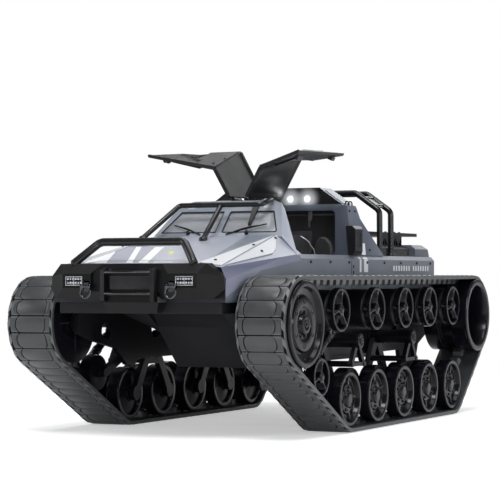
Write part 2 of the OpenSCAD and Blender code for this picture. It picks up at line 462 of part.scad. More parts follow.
// ---------- cabin ----------
module seat(x) {
  hp([for (s = [-1, 1]) each [[x + s * 13, -22, 118], [x + s * 13, -22, 126], [x + s * 12, 8, 116], [x + s * 12, 8, 122], [x + s * 12, -24, 120]]]);
  hp([for (s = [-1, 1]) each [[x + s * 12, 8.1, 118], [x + s * 12, 16, 118], [x + s * 10, 15, 160], [x + s * 10, 20, 160], [x + s * 10.5, 16, 163]]]);
}
module cabin_interior() color("#232428") {
  box([-61, -84, 110], [61, 40, 113]);
  for (x = [-27, 27]) seat(x);
  for (x = [-27, 27]) box([x - 9, -16, 113.05], [x + 9, 4, 115.8]);
  difference() { box([-60, -82, 128], [60, -68, 143]); box([-52, -84, 126], [52, -72, 140]); }
  box([-7, -64, 113.05], [7, 20, 124]);
  translate([29, -60, 137]) rotate([65, 0, 0]) { rotate_extrude($fn = 48) translate([9.4, 0]) circle(r = 1.1, $fn = 16); for (a = [30, 150, 270]) rotate(a) translate([0, -1, -0.7]) cube([9.4, 2, 1.4]); cylinder(h = 2.4, r = 2.6, center = true); }
  translate([29, -67.8, 133.3]) rotate([-115, 0, 0]) translate([0, 0, -7.6]) cylinder(h = 7, r = 1.3);
}

// ---------- fasteners ----------
module hexy(p, rot, r = 1.25, h = 0.9) { translate(p) rotate(rot) cylinder(h = h, r = r, $fn = 6); }
module fasteners() color("#3a3c40") lr() {
  for (q = [[0.814, 0.09], [0.34, 0.25]]) translate(fender(q[0], q[1], 1.1)) rotate([0, acos(fn[2]), atan2(fn[1], fn[0])]) cylinder(h = 0.8, r = 1.25, $fn = 6);
  for (q = [[0.37, 0.115], [0.29, 0.6]]) translate(shoulder(q[0], q[1], 1.1)) rotate([0, acos(gn[2]), atan2(gn[1], gn[0])]) cylinder(h = 0.8, r = 1.25, $fn = 6);
  for (y = [-70, -30, 10, 50, 90, 130, 170, 205]) hexy([body_hw + 0.02, y, 136], [0, 90, 0]);
  for (y = [-205, -170, -135]) hexy([body_hw - 0.2, y, 110], [0, 90, 0], 1.1);
  for (y = [-150, -66, 5, 62, 130, 190]) hexy([74.02, y, 100], [0, 90, 0], 1.8, 1.4);
  for (p = [[56.5, 126.5], [56.5, 139.5], [56.5, 160.5], [56.5, 173.5]]) hexy([p[0], p[1], 164.02], [0, 0, 0]);
  for (q = [[24, 180], [36, 180], [45, 158], [40, 147], [62, 147]]) hexy([73.02 - (q[1] - 142) * 0.0965, q[0], q[1]], [0, 84.5, 0], 1.1);
}

// ---------- draw ----------
side(1) track_belt();  // track_belt_l
side(-1) track_belt();  // track_belt_r
side(1) front_idler();  // front_idler_l
side(-1) front_idler();  // front_idler_r
side(1) drive_sprocket();  // drive_sprocket_l
side(-1) drive_sprocket();  // drive_sprocket_r
side(1) return_roller(0);  // return_roller_l_1
side(1) return_roller(1);  // return_roller_l_2
side(1) return_roller(2);  // return_roller_l_3
side(1) return_roller(3);  // return_roller_l_4
side(1) return_roller(4);  // return_roller_l_5
side(-1) return_roller(0);  // return_roller_r_1
side(-1) return_roller(1);  // return_roller_r_2
side(-1) return_roller(2);  // return_roller_r_3
side(-1) return_roller(3);  // return_roller_r_4
side(-1) return_roller(4);  // return_roller_r_5
side(1) road_wheel(0);  // road_wheel_l_1
side(1) road_wheel(1);  // road_wheel_l_2
side(1) road_wheel(2);  // road_wheel_l_3
side(1) road_wheel(3);  // road_wheel_l_4
side(1) road_wheel(4);  // road_wheel_l_5
side(-1) road_wheel(0);  // road_wheel_r_1
side(-1) road_wheel(1);  // road_wheel_r_2
side(-1) road_wheel(2);  // road_wheel_r_3
side(-1) road_wheel(3);  // road_wheel_r_4
side(-1) road_wheel(4);  // road_wheel_r_5
side(1) tension_wheel();  // tension_wheel_l
side(-1) tension_wheel();  // tension_wheel_r
side(1) side_frame();  // side_frame_l
side(-1) side_frame();  // side_frame_r
side(1) bogie(0);  // bogie_l_1
side(1) bogie(1);  // bogie_l_2
side(-1) bogie(0);  // bogie_r_1
side(-1) bogie(1);  // bogie_r_2
side(1) tension_arm();  // tension_arm_l
side(-1) tension_arm();  // tension_arm_r
side(1) tension_damper();  // tension_damper_l
side(-1) tension_damper();  // tension_damper_r
hull_tub();
body_shell();
bolt_on_plates();
front_bumper();
tow_shackles();
bull_bar();
windscreen_glass();
wipers();
union() { windscreen_guard(); guard2(); }
door_hinges();
color(dark) door_pose();  // door_left
color(dark) mirror([1, 0, 0]) door_pose();  // door_right
rear_roof();
lamp_units();
roll_hoops();
engine_deck();
rear_rack();
cabin_interior();
battery_pack();
union() { drive_units(); motors(); }
control_board();
fasteners();
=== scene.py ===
import bpy, bmesh, math
from mathutils import Vector, Matrix
from math import radians, cos, sin, pi


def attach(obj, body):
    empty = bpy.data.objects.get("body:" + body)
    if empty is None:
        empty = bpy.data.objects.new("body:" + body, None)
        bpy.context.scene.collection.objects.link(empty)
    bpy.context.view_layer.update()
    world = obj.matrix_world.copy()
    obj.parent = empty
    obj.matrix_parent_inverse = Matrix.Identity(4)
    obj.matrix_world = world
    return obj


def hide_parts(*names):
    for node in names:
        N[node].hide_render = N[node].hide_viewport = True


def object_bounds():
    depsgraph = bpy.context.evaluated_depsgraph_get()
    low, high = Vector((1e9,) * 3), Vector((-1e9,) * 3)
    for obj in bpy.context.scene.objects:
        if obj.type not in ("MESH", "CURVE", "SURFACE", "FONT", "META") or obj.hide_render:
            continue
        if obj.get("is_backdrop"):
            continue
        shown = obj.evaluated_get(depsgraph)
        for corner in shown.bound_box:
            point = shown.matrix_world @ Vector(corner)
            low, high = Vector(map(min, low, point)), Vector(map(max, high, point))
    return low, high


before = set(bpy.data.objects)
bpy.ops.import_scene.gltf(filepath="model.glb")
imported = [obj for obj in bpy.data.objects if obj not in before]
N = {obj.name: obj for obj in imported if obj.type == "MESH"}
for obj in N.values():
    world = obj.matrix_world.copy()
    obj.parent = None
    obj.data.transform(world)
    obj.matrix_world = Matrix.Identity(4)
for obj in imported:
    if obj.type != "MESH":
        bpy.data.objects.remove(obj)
box0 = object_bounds()
MM = 0.001
SC = bpy.context.scene
SIDES = (("l", 1), ("r", -1))


# ------------------------------------------------------------------ camera
def add_camera():
    c = bpy.data.cameras.new("camera")
    c.lens, c.sensor_width, c.clip_start, c.clip_end = 144.09, 36, 0.05, 50
    o = bpy.data.objects.new("camera", c)
    SC.collection.objects.link(o)
    th, ph, ro = radians(25.6785), radians(-0.7813), radians(-0.122)
    fw = Vector((-sin(th) * cos(ph), cos(th) * cos(ph), -sin(ph)))
    rt = Vector((cos(th), sin(th), 0))
    up = rt.cross(fw)
    rt, up = cos(ro) * rt + sin(ro) * up, -sin(ro) * rt + cos(ro) * up
    m = Matrix((rt, up, -fw)).transposed().to_4x4()
    m.translation = Vector((734.84, -1555.98, 123.38)) * MM
    o.matrix_world = m
    SC.camera = o


# ------------------------------------------------------------------ materials
def lin(r, g, b):
    f = lambda v: v / 255 / 12.92 if v / 255 <= 0.04045 else ((v / 255 + 0.055) / 1.055) ** 2.4
    return (f(r), f(g), f(b))


def surf(name, col, rough=0.5, metal=0.0, spec=0.5, grain=1400, bump=0.12, var=0.1, vscale=22, edge_wear_and_highlight=0.0,
         edge_wear_and_highlight_col=(0.3, 0.3, 0.32), rvar=0.07, coat=0.0, coat_r=0.15, speck=0.0, streak=None, emit=None, emit_s=0.0):
    """Moulded or painted surface: slow tone drift, fine grain in colour and height, gloss drift, and lighter edges that
    are partly rubbed wear and partly painted highlight.
    """
    m = bpy.data.materials.new(name)
    m.use_nodes = True
    nt = m.node_tree
    nt.nodes.clear()
    L = nt.links.new
    out = nt.nodes.new("ShaderNodeOutputMaterial")
    p = nt.nodes.new("ShaderNodeBsdfPrincipled")
    L(p.outputs[0], out.inputs[0])
    tc = nt.nodes.new("ShaderNodeTexCoord")
    mp = nt.nodes.new("ShaderNodeMapping")
    if streak:
        mp.inputs["Scale"].default_value = streak
    L(tc.outputs["Object"], mp.inputs["Vector"])
    n1 = nt.nodes.new("ShaderNodeTexNoise")
    n1.inputs["Scale"].default_value = vscale
    n1.inputs["Detail"].default_value = 5
    n1.inputs["Roughness"].default_value = 0.6
    n2 = nt.nodes.new("ShaderNodeTexNoise")
    n2.inputs["Scale"].default_value = grain
    n2.inputs["Detail"].default_value = 2
    L(mp.outputs[0], n1.inputs["Vector"])
    L(mp.outputs[0], n2.inputs["Vector"])
    lo = tuple(c * (1 - var) for c in col) + (1,)
    hi = tuple(min(1, c * (1 + var)) for c in col) + (1,)
    r1 = nt.nodes.new("ShaderNodeValToRGB")
    r1.color_ramp.elements[0].position, r1.color_ramp.elements[1].position = 0.32, 0.68
    r1.color_ramp.elements[0].color, r1.color_ramp.elements[1].color = lo, hi
    L(n1.outputs["Fac"], r1.inputs[0])
    mx = nt.nodes.new("ShaderNodeMix")
    mx.data_type, mx.blend_type = "RGBA", "OVERLAY"
    mx.inputs[0].default_value = 0.18 + speck
    L(r1.outputs[0], mx.inputs[6])
    L(n2.outputs["Color"], mx.inputs[7])
    hs = nt.nodes.new("ShaderNodeHueSaturation")     # grain changes tone, not hue
    hs.inputs["Saturation"].default_value = 0.0
    L(n2.outputs["Color"], hs.inputs["Color"])
    L(hs.outputs[0], mx.inputs[7])
    last = mx.outputs[2]
    # lighter colour on sharp edges (by pointiness, patchy with the tone noise): partly rubbed wear, partly a painted
    # highlight along the edges
    if edge_wear_and_highlight:
        g = nt.nodes.new("ShaderNodeNewGeometry")
        mr = nt.nodes.new("ShaderNodeMapRange")
        mr.inputs["From Min"].default_value, mr.inputs["From Max"].default_value = 0.54, 0.62
        mr.inputs["To Max"].default_value = edge_wear_and_highlight
        L(g.outputs["Pointiness"], mr.inputs["Value"])
        mu = nt.nodes.new("ShaderNodeMath")
        mu.operation, mu.use_clamp = "MULTIPLY", True
        L(mr.outputs[0], mu.inputs[0])
        L(n1.outputs["Fac"], mu.inputs[1])
        mw = nt.nodes.new("ShaderNodeMix")
        mw.data_type = "RGBA"
        mw.inputs[7].default_value = edge_wear_and_highlight_col + (1,)
        L(mu.outputs[0], mw.inputs[0])
        L(last, mw.inputs[6])
        last = mw.outputs[2]
    L(last, p.inputs["Base Color"])
    rr = nt.nodes.new("ShaderNodeMapRange")
    rr.inputs["From Min"].default_value, rr.inputs["From Max"].default_value = 0.3, 0.7
    rr.inputs["To Min"].default_value, rr.inputs["To Max"].default_value = max(0.03, rough - rvar), min(1, rough + rvar)
    L(n1.outputs["Fac"], rr.inputs["Value"])
    L(rr.outputs[0], p.inputs["Roughness"])
    p.inputs["Metallic"].default_value = metal
    p.inputs["Specular IOR Level"].default_value = spec
    if coat:
        p.inputs["Coat Weight"].default_value = coat
        p.inputs["Coat Roughness"].default_value = coat_r
    if bump:
        bp = nt.nodes.new("ShaderNodeBump")
        bp.inputs["Strength"].default_value = bump
        bp.inputs["Distance"].default_value = 0.0002
        L(n2.outputs["Fac"], bp.inputs["Height"])
        L(bp.outputs[0], p.inputs["Normal"])
    if emit:
        p.inputs["Emission Color"].default_value = emit + (1,)
        p.inputs["Emission Strength"].default_value = emit_s
    return m


def glass(name, col, trans, rough):
    m = surf(name, col, rough, spec=0.6, grain=900, bump=0.01, var=0.06, vscale=14, rvar=0.03)
    p = [n for n in m.node_tree.nodes if n.type == "BSDF_PRINCIPLED"][0]
    p.inputs["Transmission Weight"].default_value = trans
    p.inputs["IOR"].default_value = 1.45
    return m


M = {}
M["belt"] = surf("belt_rubber_mat", (0.05, 0.052, 0.056), 0.38, spec=0.6, grain=1500, bump=0.3, var=0.16, vscale=60, edge_wear_and_highlight=0.75, edge_wear_and_highlight_col=(0.27, 0.275, 0.285), rvar=0.09)
# darker copy of the belt rubber for the carcass between the pads: painted shade in the grooves
M["belt_dark"] = surf("belt_groove_shaded_mat", (0.004, 0.004, 0.005), 0.7, spec=0.1, grain=1200, bump=0.3, var=0.2)
M["wheel"] = surf("wheel_nylon_mat", (0.0055, 0.0052, 0.0088), 0.2, spec=0.3, grain=1700, bump=0.1, var=0.14, vscale=50, edge_wear_and_highlight=0.8, edge_wear_and_highlight_col=(0.21, 0.21, 0.235))
# darker copy of the wheel nylon for drums behind spokes and for dark discs in place of holes: painted shade
M["wheel_in"] = surf("wheel_shaded_core_mat", (0.004, 0.004, 0.007), 0.4, spec=0.2, grain=1500, bump=0.15, var=0.2, vscale=50)
M["frame"] = surf("frame_nylon_mat", (0.0045, 0.0045, 0.007), 0.33, spec=0.22, grain=1300, bump=0.25, var=0.18, vscale=40, edge_wear_and_highlight=0.5, edge_wear_and_highlight_col=(0.12, 0.12, 0.13))
M["alloy"] = surf("damper_alloy_mat", (0.1, 0.1, 0.11), 0.28, metal=1.0, grain=1800, bump=0.06, var=0.08, vscale=60, streak=(1, 8, 8))
M["tub"] = surf("tub_plastic_mat", (0.009, 0.009, 0.011), 0.5, spec=0.28, grain=1200, bump=0.4, var=0.15, vscale=30, edge_wear_and_highlight=0.35, edge_wear_and_highlight_col=(0.09, 0.09, 0.1))
M["paint"] = surf("body_paint_mat", lin(89, 96, 110), 0.4, spec=0.5, grain=1900, bump=0.05, var=0.07, vscale=14, edge_wear_and_highlight=0.5, edge_wear_and_highlight_col=(0.42, 0.44, 0.48), coat=0.12, coat_r=0.3)
M["paint_dark"] = surf("body_paint_indigo_mat", lin(97, 100, 123), 0.4, spec=0.5, grain=1900, bump=0.05, var=0.07, vscale=14, edge_wear_and_highlight=0.4, edge_wear_and_highlight_col=(0.42, 0.44, 0.48), coat=0.12, coat_r=0.3)
# mid, band and pale tones: lighter copies of the body paint for facets that face the light, partly the real two-tone
# paint and partly painted light
M["paint_mid"] = surf("body_paint_mid_mat", lin(137, 140, 161), 0.4, spec=0.5, grain=1900, bump=0.05, var=0.07, vscale=14, edge_wear_and_highlight=0.4, edge_wear_and_highlight_col=(0.45, 0.46, 0.5), coat=0.12, coat_r=0.3)
M["paint_band"] = surf("body_paint_band_mat", lin(117, 126, 138), 0.4, spec=0.5, grain=1900, bump=0.05, var=0.06, vscale=14, edge_wear_and_highlight=0.4, edge_wear_and_highlight_col=(0.5, 0.52, 0.55), coat=0.12, coat_r=0.3)
M["paint_light"] = surf("body_paint_light_mat", lin(157, 161, 174), 0.38, spec=0.5, grain=1900, bump=0.05, var=0.05, vscale=14, edge_wear_and_highlight=0.4, edge_wear_and_highlight_col=(0.7, 0.7, 0.74), coat=0.15, coat_r=0.25)
M["plate"] = surf("plate_pale_mat", lin(203, 205, 209), 0.42, grain=1600, bump=0.1, var=0.05, vscale=18, edge_wear_and_highlight=0.3, edge_wear_and_highlight_col=(0.75, 0.75, 0.75))
M["white"] = surf("marking_white_mat", (0.86, 0.87, 0.88), 0.45, grain=1500, bump=0.06, var=0.03, vscale=25)
M["grey_mark"] = surf("marking_grey_mat", lin(160, 163, 176), 0.42, grain=1500, bump=0.06, var=0.05, vscale=25)
M["yellow"] = surf("marking_yellow_mat", (0.85, 0.78, 0.03), 0.45, grain=1500, bump=0.05, var=0.05)
M["bumper"] = surf("bumper_plastic_mat", (0.0055, 0.0055, 0.0059), 0.4, spec=0.2, grain=1300, bump=0.35, var=0.14, vscale=25, edge_wear_and_highlight=0.8, edge_wear_and_highlight_col=(0.17, 0.17, 0.18))
# lighter copy of the bumper black for its upward slopes: painted light
M["bumper_top"] = surf("bumper_slope_lit_mat", (0.012, 0.012, 0.0128), 0.36, spec=0.4, grain=1300, bump=0.3, var=0.14, vscale=25, edge_wear_and_highlight=0.8, edge_wear_and_highlight_col=(0.2, 0.2, 0.21))
# darker copy of the bumper black for the centre recess and the lamp housings: painted shade
M["bumper_deep"] = surf("bumper_recess_shaded_mat", (0.004, 0.004, 0.005), 0.35, spec=0.25, grain=1300, bump=0.2, var=0.14, vscale=25)
M["shackle"] = surf("shackle_metal_mat", (0.1, 0.102, 0.11), 0.22, metal=1.0, grain=1800, bump=0.05, var=0.1, vscale=80)
M["tube"] = surf("tube_black_mat", (0.008, 0.008, 0.0095), 0.3, spec=0.35, grain=1500, bump=0.03, var=0.12, vscale=40, edge_wear_and_highlight=0.0, coat=0.35, coat_r=0.2)
M["glass"] = glass("glazing_mat", (0.6, 0.63, 0.67), 0.55, 0.06)
M["seal"] = surf("seal_rubber_mat", (0.012, 0.012, 0.016), 0.6, spec=0.3, grain=1400, bump=0.2, var=0.15)
M["trim"] = surf("trim_black_mat", (0.006, 0.006, 0.0085), 0.36, spec=0.25, grain=1500, bump=0.2, var=0.14, edge_wear_and_highlight=0.4, edge_wear_and_highlight_col=(0.12, 0.12, 0.13))
M["door"] = surf("door_plastic_mat", (0.013, 0.0133, 0.015), 0.4, spec=0.24, grain=1500, bump=0.18, var=0.12, vscale=25)
M["door_in"] = surf("door_liner_mat", (0.012, 0.012, 0.0135), 0.4, spec=0.24, grain=1500, bump=0.18, var=0.18, vscale=20)
M["panel"] = surf("lamp_panel_mat", (0.012, 0.012, 0.013), 0.3, spec=0.5, grain=1400, bump=0.1, var=0.2, vscale=20)
def glow(m, centres, radius, strength):
    """Light spilling on a surface round each lamp, falling off with distance in object coordinates."""
    nt = m.node_tree
    p = [n for n in nt.nodes if n.type == "BSDF_PRINCIPLED"][0]
    tc = nt.nodes.new("ShaderNodeTexCoord")
    total = None
    for c in centres:
        d = nt.nodes.new("ShaderNodeVectorMath")
        d.operation = "DISTANCE"
        d.inputs[1].default_value = [v * MM for v in c]
        nt.links.new(tc.outputs["Object"], d.inputs[0])
        mr = nt.nodes.new("ShaderNodeMapRange")
        mr.interpolation_type = "SMOOTHERSTEP"
        mr.inputs["From Min"].default_value, mr.inputs["From Max"].default_value = 0.0, radius * MM
        mr.inputs["To Min"].default_value, mr.inputs["To Max"].default_value = 1.0, 0.0
        nt.links.new(d.outputs["Value"], mr.inputs["Value"])
        if total is None:
            total = mr
        else:
            a = nt.nodes.new("ShaderNodeMath")
            a.operation = "ADD"
            nt.links.new(total.outputs[0], a.inputs[0])
            nt.links.new(mr.outputs[0], a.inputs[1])
            total = a
    k = nt.nodes.new("ShaderNodeMath")
    k.operation = "MULTIPLY"
    k.inputs[1].default_value = strength
    nt.links.new(total.outputs[0], k.inputs[0])
    nt.links.new(k.outputs[0], p.inputs["Emission Strength"])
    p.inputs["Emission Color"].default_value = (0.93, 0.96, 1.0, 1)


glow(M["panel"], [(x, 20, 190.9) for x in (-31.5, -15.5, 15.5, 31.5)], 13.5, 0.55)
M["lens"] = surf("lamp_lens_mat", (0.55, 0.57, 0.6), 0.08, grain=1200, bump=0.03, var=0.03)
glow(M["lens"], [(x, 20.3, 190.9) for x in (-31.5, -15.5, 15.5, 31.5)], 4.6, 2.2)
M["led"] = surf("led_cell_mat", (0.5, 0.52, 0.55), 0.15, grain=1200, bump=0.03, var=0.05, vscale=300, emit=(0.92, 0.97, 1.0), emit_s=0.06)
M["chrome"] = surf("reflector_mat", (0.75, 0.76, 0.78), 0.14, metal=1.0, grain=1500, bump=0.04, var=0.05, vscale=120)
M["red_lens"] = surf("tail_lens_mat", (0.5, 0.02, 0.02), 0.15, grain=1300, bump=0.05, var=0.1, coat=0.6, coat_r=0.05)
M["deck"] = surf("deck_plastic_mat", (0.01, 0.011, 0.014), 0.46, spec=0.22, grain=1400, bump=0.3, var=0.14, vscale=30, edge_wear_and_highlight=0.4, edge_wear_and_highlight_col=(0.15, 0.16, 0.18))
M["deck_block"] = surf("deck_block_mat", lin(66, 70, 80), 0.42, spec=0.4, grain=1800, bump=0.08, var=0.08, vscale=16, edge_wear_and_highlight=0.45, edge_wear_and_highlight_col=(0.36, 0.38, 0.42))
M["rack"] = surf("rack_metal_mat", (0.0065, 0.0065, 0.008), 0.34, spec=0.18, grain=1500, bump=0.15, var=0.14, vscale=40, edge_wear_and_highlight=0.5, edge_wear_and_highlight_col=(0.16, 0.16, 0.17))
M["inside"] = surf("interior_plastic_mat", (0.03, 0.03, 0.034), 0.5, grain=1200, bump=0.35, var=0.2, vscale=30, edge_wear_and_highlight=0.6, edge_wear_and_highlight_col=(0.3, 0.3, 0.32))
M["shine"] = surf("rail_satin_mat", (0.45, 0.45, 0.47), 0.3, metal=0.6, grain=1500, bump=0.05, var=0.08, vscale=60)
M["grey_part"] = surf("lamp_arm_mat", (0.09, 0.085, 0.09), 0.4, grain=1500, bump=0.1, var=0.1, vscale=40)
M["wrap"] = surf("battery_wrap_mat", (0.03, 0.09, 0.26), 0.2, grain=1200, bump=0.1, var=0.12, vscale=60, coat=0.5, coat_r=0.08)
M["steel"] = surf("motor_steel_mat", (0.2, 0.205, 0.22), 0.32, metal=1.0, grain=1600, bump=0.08, var=0.1, vscale=50, streak=(8, 1, 8))
M["board"] = surf("board_green_mat", (0.02, 0.13, 0.06), 0.28, grain=1100, bump=0.15, var=0.25, vscale=180, coat=0.4)
M["screw"] = surf("screw_steel_mat", (0.05, 0.05, 0.055), 0.3, metal=1.0, grain=1800, bump=0.08, var=0.15, vscale=200)


# ------------------------------------------------------------------ mesh helpers (millimetres in, metres out)
def finish_obj(name, bm, mats, body, replaces=(), smooth=28, mirror=False):
    if mirror:
        bmesh.ops.scale(bm, vec=(-1, 1, 1), verts=bm.verts)
        bmesh.ops.reverse_faces(bm, faces=bm.faces)
    bmesh.ops.scale(bm, vec=(MM, MM, MM), verts=bm.verts)
    me = bpy.data.meshes.new(name)
    bm.to_mesh(me)
    bm.free()
    o = bpy.data.objects.new(name, me)
    SC.collection.objects.link(o)
    for m in (mats if isinstance(mats, (list, tuple)) else [mats]):
        me.materials.append(m)
    me.shade_smooth()
    me.set_sharp_from_angle(angle=radians(smooth))
    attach(o, body)
    if replaces:
        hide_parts(*replaces)
    return o


def from_faces(bm, verts, faces, mi=0):
    vs = [bm.verts.new(v) for v in verts]
    for f in faces:
        try:
            bm.faces.new([vs[i] for i in f]).material_index = mi
        except ValueError:
            pass
    return vs


def lathe(bm, prof, c, seg=72, mi=0, x0=0.0):
    """Closed profile of (radius, x) turned about an axis along X through c = (y, z)."""
    rings = []
    for r, x in prof:
        if r < 1e-4:
            rings.append([bm.verts.new((x, c[0], c[1]))])
        else:
            rings.append([bm.verts.new((x, c[0] + r * cos(2 * pi * k / seg), c[1] + r * sin(2 * pi * k / seg))) for k in range(seg)])
    n = len(prof)
    for i in range(n):
        a, b = rings[i], rings[(i + 1) % n]
        if len(a) == 1 and len(b) == 1:
            continue
        for k in range(seg):
            k2 = (k + 1) % seg
            if len(a) == 1:
                f = [a[0], b[k2], b[k]]
            elif len(b) == 1:
                f = [a[k], a[k2], b[0]]
            else:
                f = [a[k], a[k2], b[k2], b[k]]
            bm.faces.new(f).material_index = mi


def rounded(prof, rad=0.5, n=3, closed=True):
    """Rounds the corners of a profile or outline of 2-D points."""
    out, m = [], len(prof)
    for i, p in enumerate(prof):
        if not closed and i in (0, m - 1):
            out.append(p)
            continue
        p = Vector(p)
        a, b = Vector(prof[i - 1]) - p, Vector(prof[(i + 1) % m]) - p
        la, lb = a.length, b.length
        if la < 1e-6 or lb < 1e-6:
            continue
        ang = a.angle(b)
        if ang > radians(165) or p.x < 1e-3:
            out.append(tuple(p))
            continue
        t = min(rad / math.tan(ang / 2), la * 0.42, lb * 0.42)
        p1, p2 = p + a / la * t, p + b / lb * t
        for k in range(n + 1):
            u = k / n
            q = (1 - u) ** 2 * p1 + 2 * u * (1 - u) * p + u * u * p2
            out.append((q.x, q.y))
    return out


def sweep(bm, path, r, normal=None, n=16, closed=False, caps=True, mi=0, rf=None):
    path = [Vector(p) for p in path]
    m = len(path)
    rings = []
    nv = Vector(normal).normalized() if normal else None
    for i in range(m):
        if closed:
            t = (path[(i + 1) % m] - path[i - 1]).normalized()
        else:
            t = ((path[i + 1] - path[i]).normalized() if i < m - 1 else Vector()) + ((path[i] - path[i - 1]).normalized() if i else Vector())
            t.normalize()
        if nv is not None:
            u = (nv - t * nv.dot(t)).normalized()
        else:
            ref = Vector((0, 0, 1)) if abs(t.z) < 0.9 else Vector((1, 0, 0))
            u = t.cross(ref).normalized()
        w = t.cross(u)
        rr = rf(i / (m - 1)) * r if rf else r
        rings.append([bm.verts.new(path[i] + rr * (u * cos(2 * pi * k / n) + w * sin(2 * pi * k / n))) for k in range(n)])
    for i in range(m if closed else m - 1):
        a, b = rings[i], rings[(i + 1) % m]
        for k in range(n):
            bm.faces.new([a[k], a[(k + 1) % n], b[(k + 1) % n], b[k]]).material_index = mi
    if caps and not closed:
        for ring, t, s in ((rings[0], path[0] - path[1], 1), (rings[-1], path[-1] - path[-2], -1)):
            t.normalize()
            cen = sum((v.co for v in ring), Vector()) / n
            prev = ring
            for q in (0.45, 0.8):
                nr = [bm.verts.new(cen + (v.co - cen) * math.sqrt(1 - q * q) + t * r * q * 0.5) for v in ring]
                for k in range(n):
                    f = [prev[k], prev[(k + 1) % n], nr[(k + 1) % n], nr[k]]
                    bm.faces.new(f[::-1] if s == 1 else f).material_index = mi
                prev = nr
            bm.faces.new(prev[::-1] if s == -1 else prev).material_index = mi
    bmesh.ops.recalc_face_normals(bm, faces=bm.faces)


def soft(path, r, n=10):
    """A path with its inner corners turned into arcs."""
    path = [Vector(p) for p in path]
    out = [path[0]]
    for i in range(1, len(path) - 1):
        p = path[i]
        a, b = (path[i - 1] - p).normalized(), (path[i + 1] - p).normalized()
        h = a.angle(b) / 2
        t = r / math.tan(h)
        c = p + (a + b).normalized() * (r / sin(h))
        u, w = (p + a * t - c).normalized(), (p + b * t - c).normalized()
        g = u.angle(w)
        for k in range(n + 1):
            out.append(c + r * (u * sin(g * (1 - k / n)) + w * sin(g * k / n)) / sin(g))
    out.append(path[-1])
    return out


def slab(bm, poly, frame3, h0, h1, bev=0.15, mi=0):
    """Flat plate: outline poly (2-D) in the plane frame3 = (origin, u, v, normal), from height h0 to h1, with a small chamfer on top."""
    o, u, v, nn = [Vector(q) for q in frame3]
    P = [Vector(p) for p in poly]
    m = len(P)
    area = sum(P[i].x * P[(i + 1) % m].y - P[(i + 1) % m].x * P[i].y for i in range(m))
    if area < 0:
        P = P[::-1]
    ins = []
    for i in range(m):
        a, b = (P[i] - P[i - 1]).normalized(), (P[(i + 1) % m] - P[i]).normalized()
        na, nb = Vector((-a.y, a.x)), Vector((-b.y, b.x))
        s = (na + nb)
        s = s / max(0.3, s.length_squared / 2)
        ins.append(P[i] + s * bev)
    W = lambda q, h: o + u * q.x + v * q.y + nn * h
    r0 = [bm.verts.new(W(q, h0)) for q in P]
    r1 = [bm.verts.new(W(q, h1 - bev * 0.8)) for q in P]
    r2 = [bm.verts.new(W(q, h1)) for q in ins]
    fs = [bm.faces.new(r2), bm.faces.new(r0[::-1])]
    for a, b in ((r0, r1), (r1, r2)):
        for k in range(m):
            fs.append(bm.faces.new([a[k], a[(k + 1) % m], b[(k + 1) % m], b[k]]))
    for f in fs:
        f.material_index = mi
    if (u.cross(v)).dot(nn) < 0:
        bmesh.ops.reverse_faces(bm, faces=fs)


def hexhead(bm, p, nrm, r, h, mi=0, n=6):
    """Screw head with a chamfered rim and a driver socket."""
    nrm = Vector(nrm).normalized()
    ref = Vector((0, 0, 1)) if abs(nrm.z) < 0.9 else Vector((0, 1, 0))
    u = nrm.cross(ref).normalized()
    w = nrm.cross(u)
    p = Vector(p)
    prof = [(r, 0), (r, h * 0.7), (r * 0.82, h), (r * 0.45, h), (r * 0.4, h * 0.45)]
    rings = [[bm.verts.new(p + nrm * z + rr * (u * cos(2 * pi * (k + 0.5) / n) + w * sin(2 * pi * (k + 0.5) / n))) for k in range(n)] for rr, z in prof]
    for a, b in zip(rings, rings[1:]):
        for k in range(n):
            bm.faces.new([a[k], a[(k + 1) % n], b[(k + 1) % n], b[k]]).material_index = mi
    bm.faces.new(rings[-1]).material_index = mi
    bm.faces.new(rings[0][::-1]).material_index = mi


def cad_copy(node, w, mat, body="vehicle", name=None, seg=2, angle=None, paint=None, extra_mats=(), cuts=(), smooth=35, keep_curves=False, facets=False):
    """The CAD node's own shape with its edges eased, coplanar facets joined, and optional cut lines for paint."""
    bm = bmesh.new()
    bm.from_mesh(N[node].data)
    bmesh.ops.remove_doubles(bm, verts=bm.verts, dist=2e-6)
    bmesh.ops.dissolve_limit(bm, angle_limit=radians(0.4 if keep_curves else 0.8), verts=bm.verts, edges=bm.edges)
    for co, no in cuts:
        bmesh.ops.bisect_plane(bm, geom=list(bm.verts) + list(bm.edges) + list(bm.faces), dist=1e-6, plane_co=Vector(co) * MM, plane_no=Vector(no))
    bm.normal_update()
    if paint:
        for f in bm.faces:
            f.material_index = paint(f.calc_center_median() / MM, f.normal)
    me = bpy.data.meshes.new(name or node + "_body")
    bm.to_mesh(me)
    bm.free()
    o = bpy.data.objects.new(name or node + "_body", me)
    SC.collection.objects.link(o)
    for m in [mat] + list(extra_mats):
        me.materials.append(m)
    me.shade_smooth()
    if facets:
        me.set_sharp_from_angle(angle=radians(2.5))
    if w:
        b = o.modifiers.new("ease", "BEVEL")
        b.width, b.segments, b.limit_method, b.angle_limit = w * MM, seg, "ANGLE", radians(angle or (24 if keep_curves else 9))
        b.use_clamp_overlap = True
        b.miter_outer = "MITER_ARC"
        wn = o.modifiers.new("flat_faces", "WEIGHTED_NORMAL")
        wn.mode, wn.weight, wn.keep_sharp = "FACE_AREA", 90, True
        dg = bpy.context.evaluated_depsgraph_get()
        me2 = bpy.data.meshes.new_from_object(o.evaluated_get(dg))
        o.modifiers.clear()
        o.data = me2
    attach(o, body)
    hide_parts(node)
    return o


